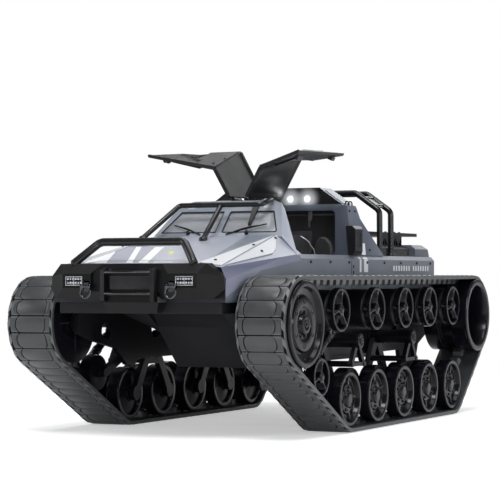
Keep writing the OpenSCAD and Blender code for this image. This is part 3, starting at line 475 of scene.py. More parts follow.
# ------------------------------------------------------------------ belt path, as in the CAD
BT, LINKS, BIN, BW = 3.8, 79, 79.4, 40.6
CIR = [(-87.9, 26.7, 26.7 - BT), (-87.9 + 4 * 59.1, 26.7, 26.7 - BT), (204.7, 88, 37 - BT), (-182.6, 88, 37 - BT)]


def bc(i):
    return CIR[i % 4]


def na(i):
    a, b = bc(i), bc(i + 1)
    d = math.hypot(b[0] - a[0], b[1] - a[1])
    return math.degrees(math.atan2(b[1] - a[1], b[0] - a[0])) - math.degrees(math.acos((a[2] - b[2]) / d))


def sweepa(i):
    return (na(i) - na(i - 1) + 720) % 360


def dr(a):
    return Vector((cos(radians(a)), sin(radians(a))))


def cyv(i):
    return Vector(bc(i)[:2])


SEG = []
_s = 0.0
for _i in range(4):
    _arc = sweepa(_i) * pi / 180 * (bc(_i)[2] + 2)
    _run = (cyv(_i + 1) + dr(na(_i)) * bc(_i + 1)[2] - cyv(_i) - dr(na(_i)) * bc(_i)[2]).length
    SEG.append((_s, _arc, _run))
    _s += _arc + _run
BELT = _s
LP = BELT / LINKS


def on(s, h):
    s = s % BELT
    for i in range(4):
        b, arc, run = SEG[i]
        if b <= s < b + arc + run:
            e = s - b
            if e < arc:
                return cyv(i) + dr(na(i - 1) + sweepa(i) * e / arc) * (bc(i)[2] + h)
            return cyv(i) + dr(na(i)) * (bc(i)[2] + h) + dr(na(i) + 90) * (e - arc)
    return cyv(0) + dr(na(-1)) * (bc(0)[2] + h)


def belt(side, w):
    bm = bmesh.new()
    sub = 5
    n = LINKS * sub
    # carcass: a smooth band with rounded edges, proud rims at both edges
    sec = [(79.4, 0.5), (79.75, 0.08), (81.4, 0.02), (95, 0.0), (105, 0.0), (118, 0.02), (119.65, 0.08), (120.0, 0.5), (120.0, 2.75), (119.7, 3.15), (119.0, 3.15), (118.7, 2.5),
           (112, 2.35), (100, 2.35), (87, 2.35), (80.7, 2.5), (80.4, 3.15), (79.7, 3.15), (79.4, 2.75)]
    rings = []
    for i in range(n):
        s = i * LP / sub
        ring = []
        for x, h in sec:
            q = on(s, h)
            ring.append(bm.verts.new((x, q.x, q.y)))
        rings.append(ring)
    m = len(sec)
    for i in range(n):
        a, b = rings[i], rings[(i + 1) % n]
        for k in range(m):
            f = bm.faces.new([a[k], b[k], b[(k + 1) % m], a[(k + 1) % m]])
            # faces 11 to 14, the carcass between the pads, take the darker groove tone: painted shade
            f.material_index = 1 if 11 <= k <= 14 else 0

    def pad(s0, rows, hb, ht, ins):
        # rows: (s, xl, xr); a crowned pad with an eased top edge
        k = len(rows)
        loop = [(s, xl) for s, xl, xr in rows] + [(s, xr) for s, xl, xr in reversed(rows)]
        cs = sum(p[0] for p in loop) / len(loop)
        cx = sum(p[1] for p in loop) / len(loop)

        def inset(p, d):
            vs, vx = cs - p[0], cx - p[1]
            return (p[0] + math.copysign(min(abs(vs), d), vs), p[1] + math.copysign(min(abs(vx), d), vx))
        levels = [(hb, 0.0), (ht - 0.42, 0.0), (ht - 0.12, ins * 0.35), (ht, ins)]
        vr = []
        for h, d in levels:
            ring = []
            for p in loop:
                q2 = inset(p, d)
                q = on(s0 + q2[0], h)
                ring.append(bm.verts.new((q2[1], q.x, q.y)))
            vr.append(ring)
        L2 = len(loop)
        for a, b in zip(vr, vr[1:]):
            for j in range(L2):
                bm.faces.new([a[j], a[(j + 1) % L2], b[(j + 1) % L2], b[j]])
        for ring in (vr[0], vr[-1]):
            for j in range(k - 1):
                bm.faces.new([ring[j], ring[j + 1], ring[L2 - 2 - j], ring[L2 - 1 - j]])

    for i in range(LINKS):
        s0 = i * LP
        e = LP
        mid = [(0.45, 88.4, 108.6), (1.7, 87.0, 110.4), (3.6, 86.3, 111.6), (e / 2, 86.0, 112.0), (e - 3.6, 86.3, 111.6), (e - 1.7, 87.0, 110.4), (e - 0.45, 88.4, 108.6)]
        pad(s0, mid, 2.2, BT, 0.45)
        pad(s0, [(0.45, 109.5, 116.6), (1.7, 111.2, 116.9), (3.6, 112.4, 117.1), (e / 2, 112.8, 117.2), (e - 3.6, 112.4, 117.1), (e - 1.7, 111.2, 116.9), (e - 0.45, 109.5, 116.6)], 2.2, BT - 0.12, 0.4)
        pad(s0, [(0.45, 82.0, 87.5), (1.7, 81.8, 86.1), (3.6, 81.7, 85.5), (e / 2, 81.6, 85.2), (e - 3.6, 81.7, 85.5), (e - 1.7, 81.8, 86.1), (e - 0.45, 82.0, 87.5)], 2.2, BT - 0.12, 0.4)
        # slanting shoulder blocks on both edges
        for xi, xo, sg in ((117.3, 119.95, 1), (81.5, 79.45, -1)):
            vs = []
            for (ss, xx, hh) in ((1.2, xi, 3.75), (7.2, xi, 3.75), (11.0, xo, 3.3), (5.0, xo, 3.3), (1.2, xi, 2.2), (7.2, xi, 2.2), (11.0, xo, 2.2), (5.0, xo, 2.2)):
                q = on(s0 + ss, hh)
                vs.append(bm.verts.new((xx, q.x, q.y)))
            for f in ((0, 1, 2, 3), (0, 4, 5, 1), (1, 5, 6, 2), (2, 6, 7, 3), (3, 7, 4, 0), (4, 5, 6, 7)):
                fl = [vs[j] for j in f]
                bm.faces.new(fl)
        # guide lug
        rows = [(0.25, 2.7, 10.3, 95.2, 104.8), (-3.7, 3.3, 9.7, 95.7, 104.3), (-4.5, 4.1, 8.9, 96.4, 103.6)]
        vr = []
        for h, sa, sb, xa, xb in rows:
            vr.append([bm.verts.new((x, *on(s0 + s, h))) for s, x in ((sa, xa), (sa, xb), (sb, xb), (sb, xa))])
        for a, b in zip(vr, vr[1:]):
            for j in range(4):
                bm.faces.new([a[j], a[(j + 1) % 4], b[(j + 1) % 4], b[j]])
        bm.faces.new(vr[-1])
        bm.faces.new(vr[0])
    bmesh.ops.recalc_face_normals(bm, faces=bm.faces)
    finish_obj(f"track_belt_tread_{side}", bm, [M["belt"], M["belt_dark"]], "vehicle", [f"track_belt_{side}"], smooth=32, mirror=w < 0)


# ------------------------------------------------------------------ wheels
ER, RR, OR_, TR = 32.4, 21.9, 17.5, 15.0
ROADY = [-87.9 + i * 59.1 for i in range(5)]
ROLLY = [-104.8, -30.3, 34.6, 93.3, 152.2]


def cap_screw(bm, x, c, r, h):
    lathe(bm, rounded([(0, x), (r, x), (r, x + h), (r * 0.55, x + h), (r * 0.5, x + h * 0.4), (0, x + h * 0.4)], 0.12, 2), c, 12)


def idler(bm):
    c = (0, 0)
    lathe(bm, rounded([(3.06, 80), (ER, 80), (ER, 93.5), (26.5, 94.5), (26.5, 105.5), (ER, 106.5), (ER, 119.6), (ER + 0.45, 120.4), (ER + 0.45, 121.9), (ER - 0.6, 122.5), (29.2, 122.5), (28.4, 121.6),
                       (27.2, 118.6), (22.6, 117.5), (21.6, 118.0), (20.4, 120.1), (13.4, 120.1), (12.2, 118.4), (8.4, 118.3), (7.6, 120.9), (6.8, 121.6), (4.6, 121.8), (4.0, 120.9), (3.06, 120.9)], 0.5, 3), c, 96)
    for i in range(8):
        a = radians(22 + 45 * i)
        cap_screw(bm, 117.9, (9.9 * cos(a), 9.9 * sin(a)), 1.15, 1.5)
    for i in range(6):
        a = radians(30 + 60 * i)
        lathe(bm, rounded([(1.2, 119.4), (1.9, 119.4), (1.9, 120.45), (1.2, 120.45)], 0.2, 2), (16.8 * cos(a), 16.8 * sin(a)), 16)
        # dark disc inside each ring: painted shade in place of a hole
        lathe(bm, [(0, 119.6), (1.3, 119.6), (1.3, 119.9), (0, 119.9)], (16.8 * cos(a), 16.8 * sin(a)), 16, mi=1)
    cap_screw(bm, 120.2, (0, 0), 2.6, 1.5)


def drum(bm):
    lathe(bm, rounded([(0, 60), (3, 60), (3, 79.5), (10, 80), (ER, 80), (ER, 93.5), (27.4, 94.5), (27.4, 105.5), (ER, 106.5), (ER, 119.6), (ER + 0.45, 120.4), (ER + 0.45, 121.9), (ER - 0.5, 122.5),
                       (28.2, 122.5), (27.3, 121.4), (26.6, 119.5), (25.3, 108), (25.2, 88.6), (8.4, 88), (7.4, 94.6), (0, 95)], 0.5, 3), (0, 0), 96)
    for i in range(6):
        a = radians(60 * i)
        cap_screw(bm, 87.9, (14 * cos(a), 14 * sin(a)), 1.5, 1.8)
    for i in range(6):          # webs on the drum's back wall
        a = radians(30 + 60 * i)
        u, v = Vector((cos(a), sin(a))), Vector((-sin(a), cos(a)))
        pts = []
        for rr in (8, 25.3):
            for s in (-0.7, 0.7):
                q = u * rr + v * s
                pts += [(88, q.x, q.y), (89.8, q.x, q.y)]
        from_faces(bm, pts, [(1, 3, 7, 5), (0, 1, 5, 4), (2, 6, 7, 3), (0, 2, 3, 1), (4, 5, 7, 6), (0, 4, 6, 2)])


def road(bm):
    lathe(bm, rounded([(2.56, 81.2), (7, 81.2), (7, 83), (17.6, 85), (18.2, 82.5), (RR - 0.3, 82.5), (RR, 83), (RR, 93), (RR - 0.3, 93.5), (18, 93.5), (16.5, 91), (10, 91), (9.5, 105), (9.5, 109), (17, 109),
                       (18, 106.5), (RR - 0.3, 106.5), (RR, 107), (RR, 116.9), (RR - 0.5, 117.5), (19.2, 117.5), (18.5, 116.9), (17.6, 113.6), (16.8, 113.2), (12.8, 112.9), (12.0, 113.4), (11.3, 114.6), (7.0, 114.6),
                       (6.4, 116.3), (3.8, 117.2), (0, 117.2), (0, 114.4), (2.56, 114.4)], 0.4, 3), (0, 0), 72)
    for i in range(6):
        a = radians(12 + 60 * i)
        cap_screw(bm, 114.3, (9.2 * cos(a), 9.2 * sin(a)), 1.25, 1.35)
    for i in range(5):
        a = radians(40 + 72 * i)
        u, v = Vector((cos(a), sin(a))), Vector((-sin(a), cos(a)))
        # dark discs in the dish in place of its lightening slots: painted shade standing in for the holes
        ring = []
        for xx in (112.6, 113.32):
            for k in range(14):
                t = 2 * pi * k / 14
                q = u * (15.0 + 1.25 * cos(t)) + v * (3.1 * sin(t))
                ring.append((xx, q.x, q.y))
        from_faces(bm, ring, [tuple(range(14)), tuple(range(27, 13, -1))] + [(k, k + 14, (k + 1) % 14 + 14, (k + 1) % 14) for k in range(14)], mi=1)
        a2 = a + radians(36)
        u, v = Vector((cos(a2), sin(a2))), Vector((-sin(a2), cos(a2)))
        pts = []
        for rr, x in ((11.4, 113.0), (17.9, 113.4)):
            for s in (-0.55, 0.55):
                q = u * rr + v * s
                pts += [(x, q.x, q.y), (x + (1.3 if rr < 12 else 1.0), q.x, q.y)]
        from_faces(bm, pts, [(1, 3, 7, 5), (0, 1, 5, 4), (2, 6, 7, 3), (0, 2, 3, 1), (4, 5, 7, 6), (0, 4, 6, 2)])


def spoked(bm, R, x0, x1, hub, w, xd0, xd1, rd, bore):
    lathe(bm, rounded([(R - 2.3, x0), (R, x0), (R, x1 - 0.3), (R - 0.4, x1), (R - 1.9, x1), (R - 2.3, x1 - 0.4)], 0.3, 3), (0, 0), 72)
    lathe(bm, rounded([(bore, x0 - 4), (hub, x0 - 4), (hub, x1 - 0.4), (hub - 0.8, x1 + 0.25), (2.6, x1 + 0.25), (2.4, x1 + 0.9), (0, x1 + 0.9), (0, x1 - 1), (bore, x1 - 1)], 0.3, 3), (0, 0), 40)
    for deg in (75, 195, 315):
        a = radians(deg)
        u, v = Vector((cos(a), sin(a))), Vector((-sin(a), cos(a)))
        secs = []
        for rr, ww, t in ((hub - 0.6, w * 0.8, 0.1), (hub + 1.5, w * 0.55, 0.55), (R * 0.6, w * 0.42, 0.7), (R - 3.4, w * 0.6, 0.45), (R - 1.6, w * 1.0, 0.2)):
            prof = [(-ww, x0 + 0.8), (ww, x0 + 0.8), (ww, x1 - t - 0.6), (ww * 0.45, x1 - t), (-ww * 0.45, x1 - t), (-ww, x1 - t - 0.6)]
            secs.append([bm.verts.new((x, *(u * rr + v * s))) for s, x in prof])
        for p, q in zip(secs, secs[1:]):
            for k in range(6):
                bm.faces.new([p[k], p[(k + 1) % 6], q[(k + 1) % 6], q[k]])
        bm.faces.new(secs[0][::-1]); bm.faces.new(secs[-1])
    # drum behind the spokes in the darker wheel tone: painted shade
    lathe(bm, rounded([(bore, xd0), (rd, xd0), (rd, xd1), (rd - 1.4, xd1 + 0.6), (bore + 2.6, xd1 + 0.6), (bore + 2.4, x0 - 3.5), (bore, x0 - 3.5)], 0.4, 2), (0, 0), 64, mi=1)


def place_wheel(fn, name, node, c, w, seed_turn=0.0):
    bm = bmesh.new()
    fn(bm)
    bmesh.ops.recalc_face_normals(bm, faces=bm.faces)
    if seed_turn:
        bmesh.ops.rotate(bm, verts=bm.verts, cent=(0, 0, 0), matrix=Matrix.Rotation(radians(seed_turn), 3, "X"))
    bmesh.ops.translate(bm, vec=(0, c[0], c[1]), verts=bm.verts)
    finish_obj(name, bm, [M["wheel"], M["wheel_in"]], node, [node], smooth=34, mirror=w < 0)


def wheels():
    for s, w in SIDES:
        place_wheel(idler, f"front_idler_wheel_{s}", f"front_idler_{s}", (-182.6, 88), w)
        place_wheel(drum, f"drive_drum_{s}", f"drive_sprocket_{s}", (204.7, 88), w)
        for i in range(5):
            place_wheel(road, f"road_wheel_disc_{s}_{i + 1}", f"road_wheel_{s}_{i + 1}", (ROADY[i], 26.7), w, 17 * i)
            place_wheel(lambda b: spoked(b, OR_, 112, 117.3, 4.6, 1.5, 83, 108.6, OR_ - 1.7, 2.06), f"return_roller_disc_{s}_{i + 1}", f"return_roller_{s}_{i + 1}", (ROLLY[i], 97.6), w)
        place_wheel(lambda b: spoked(b, TR, 108, 115.5, 4.4, 1.4, 83, 93, TR - 0.5, 2.06), f"tension_wheel_disc_{s}", f"tension_wheel_{s}", (-140, 46), w)


# ------------------------------------------------------------------ suspension
def suspension():
    for s, w in SIDES:
        cad_copy(f"side_frame_{s}", 0.35, M["frame"], name=f"side_frame_plate_{s}", keep_curves=True)
        for b in (1, 2):
            cad_copy(f"bogie_{s}_{b}", 0.4, M["frame"], body=f"bogie_{s}_{b}", name=f"bogie_arms_{s}_{b}", keep_curves=True)
            yc = (ROADY[2 * b - 2] + ROADY[2 * b - 1]) / 2
            bm = bmesh.new()        # pivot boss with its retaining screw
            lathe(bm, rounded([(0, 112.2), (6.2, 112.2), (6.2, 114.2), (4.4, 114.6), (4.0, 113.9), (0, 113.9)], 0.3, 2), (yc, 72), 40)
            cap_screw(bm, 113.7, (yc, 72), 2.2, 1.3)
            bmesh.ops.recalc_face_normals(bm, faces=bm.faces)
            finish_obj(f"bogie_pivot_boss_{s}_{b}", bm, M["wheel"], f"bogie_{s}_{b}", mirror=w < 0)
        cad_copy(f"tension_arm_{s}", 0.4, M["frame"], body=f"tension_arm_{s}", name=f"tension_arm_link_{s}", keep_curves=True)
        cad_copy(f"tension_damper_{s}", 0.25, M["alloy"], body=f"tension_damper_{s}", name=f"tension_damper_tube_{s}", keep_curves=True)
        # coil spring on the damper
        p0, p1 = Vector((100, -140, 46)), Vector((100, -88, 80))
        u = (p1 - p0).normalized()
        e1 = Vector((1, 0, 0))
        e2 = u.cross(e1)
        pts = []
        turns, n = 8, 8 * 18
        for k in range(n + 1):
            a = 2 * pi * turns * k / n
            t = 8.2 + 21.4 * k / n
            pts.append(p0 + u * t + (e1 * cos(a) + e2 * sin(a)) * 3.3)
        bm = bmesh.new()
        sweep(bm, pts, 0.55, n=8)
        finish_obj(f"damper_spring_{s}", bm, M["shackle"], f"tension_damper_{s}", mirror=w < 0)


# ------------------------------------------------------------------ body
def ztop(x, y):
    return 133.6 + 0.17941 * (y + 224)


HN = Vector((0, -0.17941, 1)).normalized()
HOOD = ((0, -224, 133.6), (1, 0, 0), (0, 1, 0.17941), HN)


def vplane(a, b):
    a, b = Vector(a), Vector(b)
    d = b - a
    return ((a.x, a.y, 0), (d.y, -d.x, 0))


def right_of(x, y, a, b):
    return (b[0] - a[0]) * (y - a[1]) - (b[1] - a[1]) * (x - a[0]) < 0


R1 = ((50, -224), (0, -100))
R2 = ((54.5, -224), (27.6, -90))
W1 = ((-224.2, 122.2), (-115.4, 139.9))       # lower edge of the dark facet on the side, in y, z
W2 = ((-224, 108.5), (-140.3, 135.8))


# Chooses a paint tone per facet by position and facing. The indigo tone goes on the steep fender facets; the lighter
# mid, band and pale tones on hood tops, the cowl and lit side facets are partly real paint and partly painted light.
def body_paint(c, n):
    x, y, z = abs(c.x), c.y, c.z
    if y < -223.4 and n.y < -0.7:
        return 5
    if y < -86 and n.z > 0.5:
        if abs(n.x) > 0.45:
            return 4            # border round the pale plate
        if abs(n.x) > 0.08:
            return 4
        return 4 if not right_of(x, y, *R2) else 3
    if y < -86 and n.z > 0.2 and abs(n.x) > 0.6:
        return 1
    if y < -86 and abs(n.x) > 0.8 and z > 105:
        up = lambda e: (z - e[0][1]) - (e[1][1] - e[0][1]) * (y - e[0][0]) / (e[1][0] - e[0][0])
        if up(W1) > 0:
            return 1
        return 2 if up(W2) > 0 else 0
    if z > 141 and -93 < y < -52:
        if abs(n.x) > 0.35:
            return 4
        return 3 if n.y < -0.3 else 0
    return 0


def body():
    cuts = []
    for s in (1, -1):
        for a, b in (R1, R2):
            cuts.append(vplane((s * a[0], a[1], 0), (s * b[0], b[1], 0)))
    cuts.append(((0, -88, 0), (0, 1, 0)))
    for a, b in (W1, W2):
        cuts.append(((0, a[0], a[1]), (0, -(b[1] - a[1]), b[0] - a[0])))
    cad_copy("body_shell", 0.45, M["paint"], name="body_shell_panels", paint=body_paint,
             extra_mats=(M["paint_dark"], M["paint_mid"], M["paint_band"], M["paint_light"], M["trim"]), cuts=cuts, seg=2, facets=True)
    # markings on the hood, thin vinyl
    bm = bmesh.new()
    u0 = -224
    def deck(poly, mi, h=0.1):
        slab(bm, [(x, y - u0) for x, y in poly], HOOD, 0.02, h, 0.05, mi)
    white = [[(-52, -216.9), (-31.5, -217.5), (-52.0, -166), (-53, -166)],
             [(-13.4, -218.1), (-8.2, -218.2), (-40.3, -144.6), (-45.6, -144.3)],
             [(-3.0, -218.3), (5.2, -218.6), (-19.5, -145.6), (-27.5, -145.3)]]
    for p in white:
        deck(p, 0, 0.13)
    deck([(-31.0, -217.5), (-14.4, -218.1), (-46.4, -144.3), (-52.4, -143.5), (-52.6, -164)], 1)
    deck([(-7.4, -218.2), (-4.0, -218.3), (-28.4, -145.3), (-39.4, -144.6)], 1)
    deck([(2.1, -177.6), (-1.6, -167.4), (1.4, -167.8), (5.9, -181.2)], 2, 0.16)
    for i in range(7):
        x = 9.4 + i * 2.3
        deck([(x, -216.4), (x + 1.5, -216.4), (x + 1.3, -214.4), (x - 0.2, -214.4)], 0, 0.16)
    finish_obj("hood_markings", bm, [M["white"], M["grey_mark"], M["yellow"]], "vehicle")
    # side markings: two tall bars and a row of dashes
    for s, w in SIDES:
        bm = bmesh.new()
        SIDE = ((75.0, 0, 0), (0, 1, 0), (0, 0, 1), (1, 0, 0))
        EDGE = ((75.0, 0, 138.5), (0, 1, 0), (-0.6508, 0, 0.7593), (0.7593, 0, 0.6508))
        FIN = ((73.0, 0, 142.05), (0, 1, 0), (-0.0961, 0, 0.9954), (0.9954, 0, 0.0961))
        for a, b in ((33.6, 37.6), (43.6, 52.4)):
            slab(bm, [(a, 127.6), (b, 127.6), (b, 138.3), (a, 138.3)], SIDE, 0.02, 0.13, 0.05)
            slab(bm, [(a, 0.15), (b, 0.15), (b, 2.6), (a, 2.6)], EDGE, 0.02, 0.13, 0.05)
            slab(bm, [(a, 0.5), (b, 0.5), (b, 10.6), (a, 10.6)], FIN, 0.02, 0.13, 0.05)
        for i in range(14):
            y = 112 + i * 6.2 + (5 if i > 6 else 0)
            slab(bm, [(y, 128.8), (y + 3.0, 128.8), (y + 3.0, 133.4), (y, 133.4)], SIDE, 0.02, 0.12, 0.05)
        finish_obj(f"side_markings_{s}", bm, M["white"], "vehicle", mirror=w < 0)
        # panel joint below the side box, with its row of slots
        bm = bmesh.new()
        slab(bm, [(15.6, 105.5), (16.4, 105.5), (16.4, 138.2), (15.6, 138.2)], SIDE, 0.01, 0.1, 0.04)
        for i in range(5):
            z = 111 + i * 5
            slab(bm, [(19, z), (21.4, z), (21.4, z + 2.6), (19, z + 2.6)], SIDE, 0.01, 0.12, 0.04)
        finish_obj(f"side_panel_joint_{s}", bm, M["seal"], "vehicle", mirror=w < 0)
    cad_copy("bolt_on_plates", 0.35, M["plate"], name="bolt_on_panels",
             paint=lambda c, n: 1 if c.y > 0 else 0, extra_mats=(M["trim"],))
    cad_copy("rear_roof", 0.5, M["paint"], name="rear_roof_frame", facets=True,
             paint=lambda c, n: (1 if (c.y < 24 and c.z > 185.4 and n.y < -0.5) else (0 if (abs(c.x) > 43 and c.z > 184.6 and n.z > 0.3 and abs(n.x) > 0.3) else (3 if 22 < c.y < 44 and abs(c.x) < 66 and c.z < 182 else 0))),
             extra_mats=(M["panel"], M["paint_light"], M["inside"]))
    # roof edge fittings: a raised slope panel and small hooks near the eave
    for s, w in SIDES:
        bm = bmesh.new()
        a, b = Vector((66.5, 184)), Vector((43, 200.5))
        d = (b - a).normalized()
        nn = Vector((-d.y, d.x)) * -1
        org = (a.x, 0, a.y)
        F = (org, (d.x, 0, d.y), (0, 1, 0), (0.5745, 0, 0.8185))
        slab(bm, rounded([(4, 25.5), (25, 25.5), (25, 42), (4, 42)], 1.2, 3), F, 0.02, 0.5, 0.2)
        # slope panel in the band tone, a lighter copy of the body paint that carries painted light
        finish_obj(f"roof_slope_panel_{s}", bm, M["paint_band"], "vehicle", mirror=w < 0)
        bm = bmesh.new()
        for y in (27.5, 34.5):
            path = [(64.2, y, 185.9), (64.9, y, 188.2), (66.9, y, 188.4), (67.8, y, 186.2), (67.4, y, 184.2)]
            sweep(bm, soft(path, 0.7, 4), 0.55, normal=(0, 1, 0), n=10)
        finish_obj(f"roof_hooks_{s}", bm, M["tube"], "vehicle", mirror=w < 0)


def windscreen():
    # windscreen plane frame
    r2 = math.sqrt(0.5)
    WS = ((0, -90, 157), (1, 0, 0), (0, r2, r2), (0, -r2, r2))
    panes = ([(3, 4), (52.6, 4), (42.4, 28.5), (3, 28.5)], [(-3, 4), (-52.6, 4), (-42.4, 28.5), (-3, 28.5)])
    bm = bmesh.new()
    for p in panes:
        slab(bm, [(x * 0.998, y) for x, y in p], WS, -1.7, -0.5, 0.15)
    finish_obj("windscreen_panes", bm, M["glass"], "vehicle", ["windscreen_glass"])
    bm = bmesh.new()
    o, u, v, nn = [Vector(q) for q in WS]
    for p in panes:
        if p[1][0] < 0:
            p = [p[0], p[3], p[2], p[1]]
        rp = rounded(p, 1.6, 4)
        c = Vector((sum(q[0] for q in rp) / len(rp), sum(q[1] for q in rp) / len(rp)))
        pts = []
        for q in rp:
            q = Vector(q)
            pts.append(o + u * q.x + v * q.y + nn * 0.55)
        sweep(bm, pts, 0.55, normal=nn, n=10, closed=True)
    finish_obj("windscreen_seals", bm, M["seal"], "vehicle")
    bm = bmesh.new()
    for sg in (1, -1):
        cap = rounded([(30.6, 31.6), (39.4, 31.6), (39.4, 36.8), (30.6, 36.8)], 2.4, 5)
        cap2 = rounded([(31.2, 32.2), (38.8, 32.2), (38.8, 36.2), (31.2, 36.2)], 1.9, 5)
        slab(bm, [(sg * x, y) for x, y in cap], WS, 0.0, 0.25, 0.1, 0)
        slab(bm, [(sg * x, y) for x, y in cap2], WS, 0.2, 0.7, 0.25, 1)
    # cap tops in the pale body tone, which carries painted light
    finish_obj("header_caps", bm, [M["seal"], M["paint_light"]], "vehicle")
    # wipers: sprung blades on hooked arms
    bm = bmesh.new()
    def W(x, y, h):
        return o + u * x + v * y + nn * h
    for piv, a, b in (((26.4, 2.2), (8.3, 0.8), (41.2, 12.4)), ((-27, 2.4), (-42.9, 12), (-15.3, 0.8))):
        a, b, piv = Vector(a), Vector(b), Vector(piv)
        mid = (a + b) / 2 + Vector((2.2, 1.0 if b.y > a.y else -0.4))
        sweep(bm, [W(*piv, 0.4), W(*piv, 3.0)], 1.5, n=16)
        sweep(bm, [W(*(piv), 2.6), W(*(piv * 0.6 + mid * 0.4), 3.2), W(*mid, 2.6)], 0.55, n=8)
        sweep(bm, [W(*(a + (b - a) * t), 1.5 + 0.5 * sin(pi * t)) for t in [k / 12 for k in range(13)]], 0.62, n=8)
        sweep(bm, [W(*(a + (b - a) * t), 2.3 + 0.7 * sin(pi * (t - 0.2) / 0.6)) for t in [0.2 + 0.06 * k for k in range(11)]], 0.4, n=8)
    finish_obj("wiper_blades", bm, M["trim"], "vehicle", ["wipers"])
    # guard tubes
    bm = bmesh.new()
    sweep(bm, soft([(-56.2, -113.2, 155.9), (-38, -83, 183), (37.5, -83, 183), (37.5, -64.5, 187)], 4.2), 2.15, normal=(0, -1, 0.02), n=24)
    sweep(bm, [(0, -114.8, 154.3), (0, -82.5, 182.6)], 2.15, normal=(1, 0, 0), n=24)
    k = 2 ** -0.5
    vs = []
    for off in (0.62, 2.1):
        for x, y, z in ((21.4, -64.2, 182.8), (27.6, -64.2, 182.8), (26.8, -81.8, 165.2), (24.8, -81.8, 165.2)):
            vs.append((x, y - off * k, z + off * k))
    from_faces(bm, vs, [(4, 5, 6, 7), (0, 3, 2, 1), (0, 1, 5, 4), (1, 2, 6, 5), (2, 3, 7, 6), (3, 0, 4, 7)])
    # feet of the tubes
    for x, y, z in ((-56.2, -113.2, 155.3), (0, -114.8, 153.9)):
        p = Vector((x, y, z))
        sweep(bm, [p - HN * 0.6, p + HN * 1.0], 3.5, n=20)
    bmesh.ops.recalc_face_normals(bm, faces=bm.faces)
    finish_obj("windscreen_guard_tubes", bm, M["tube"], "vehicle", ["windscreen_guard"], smooth=40)


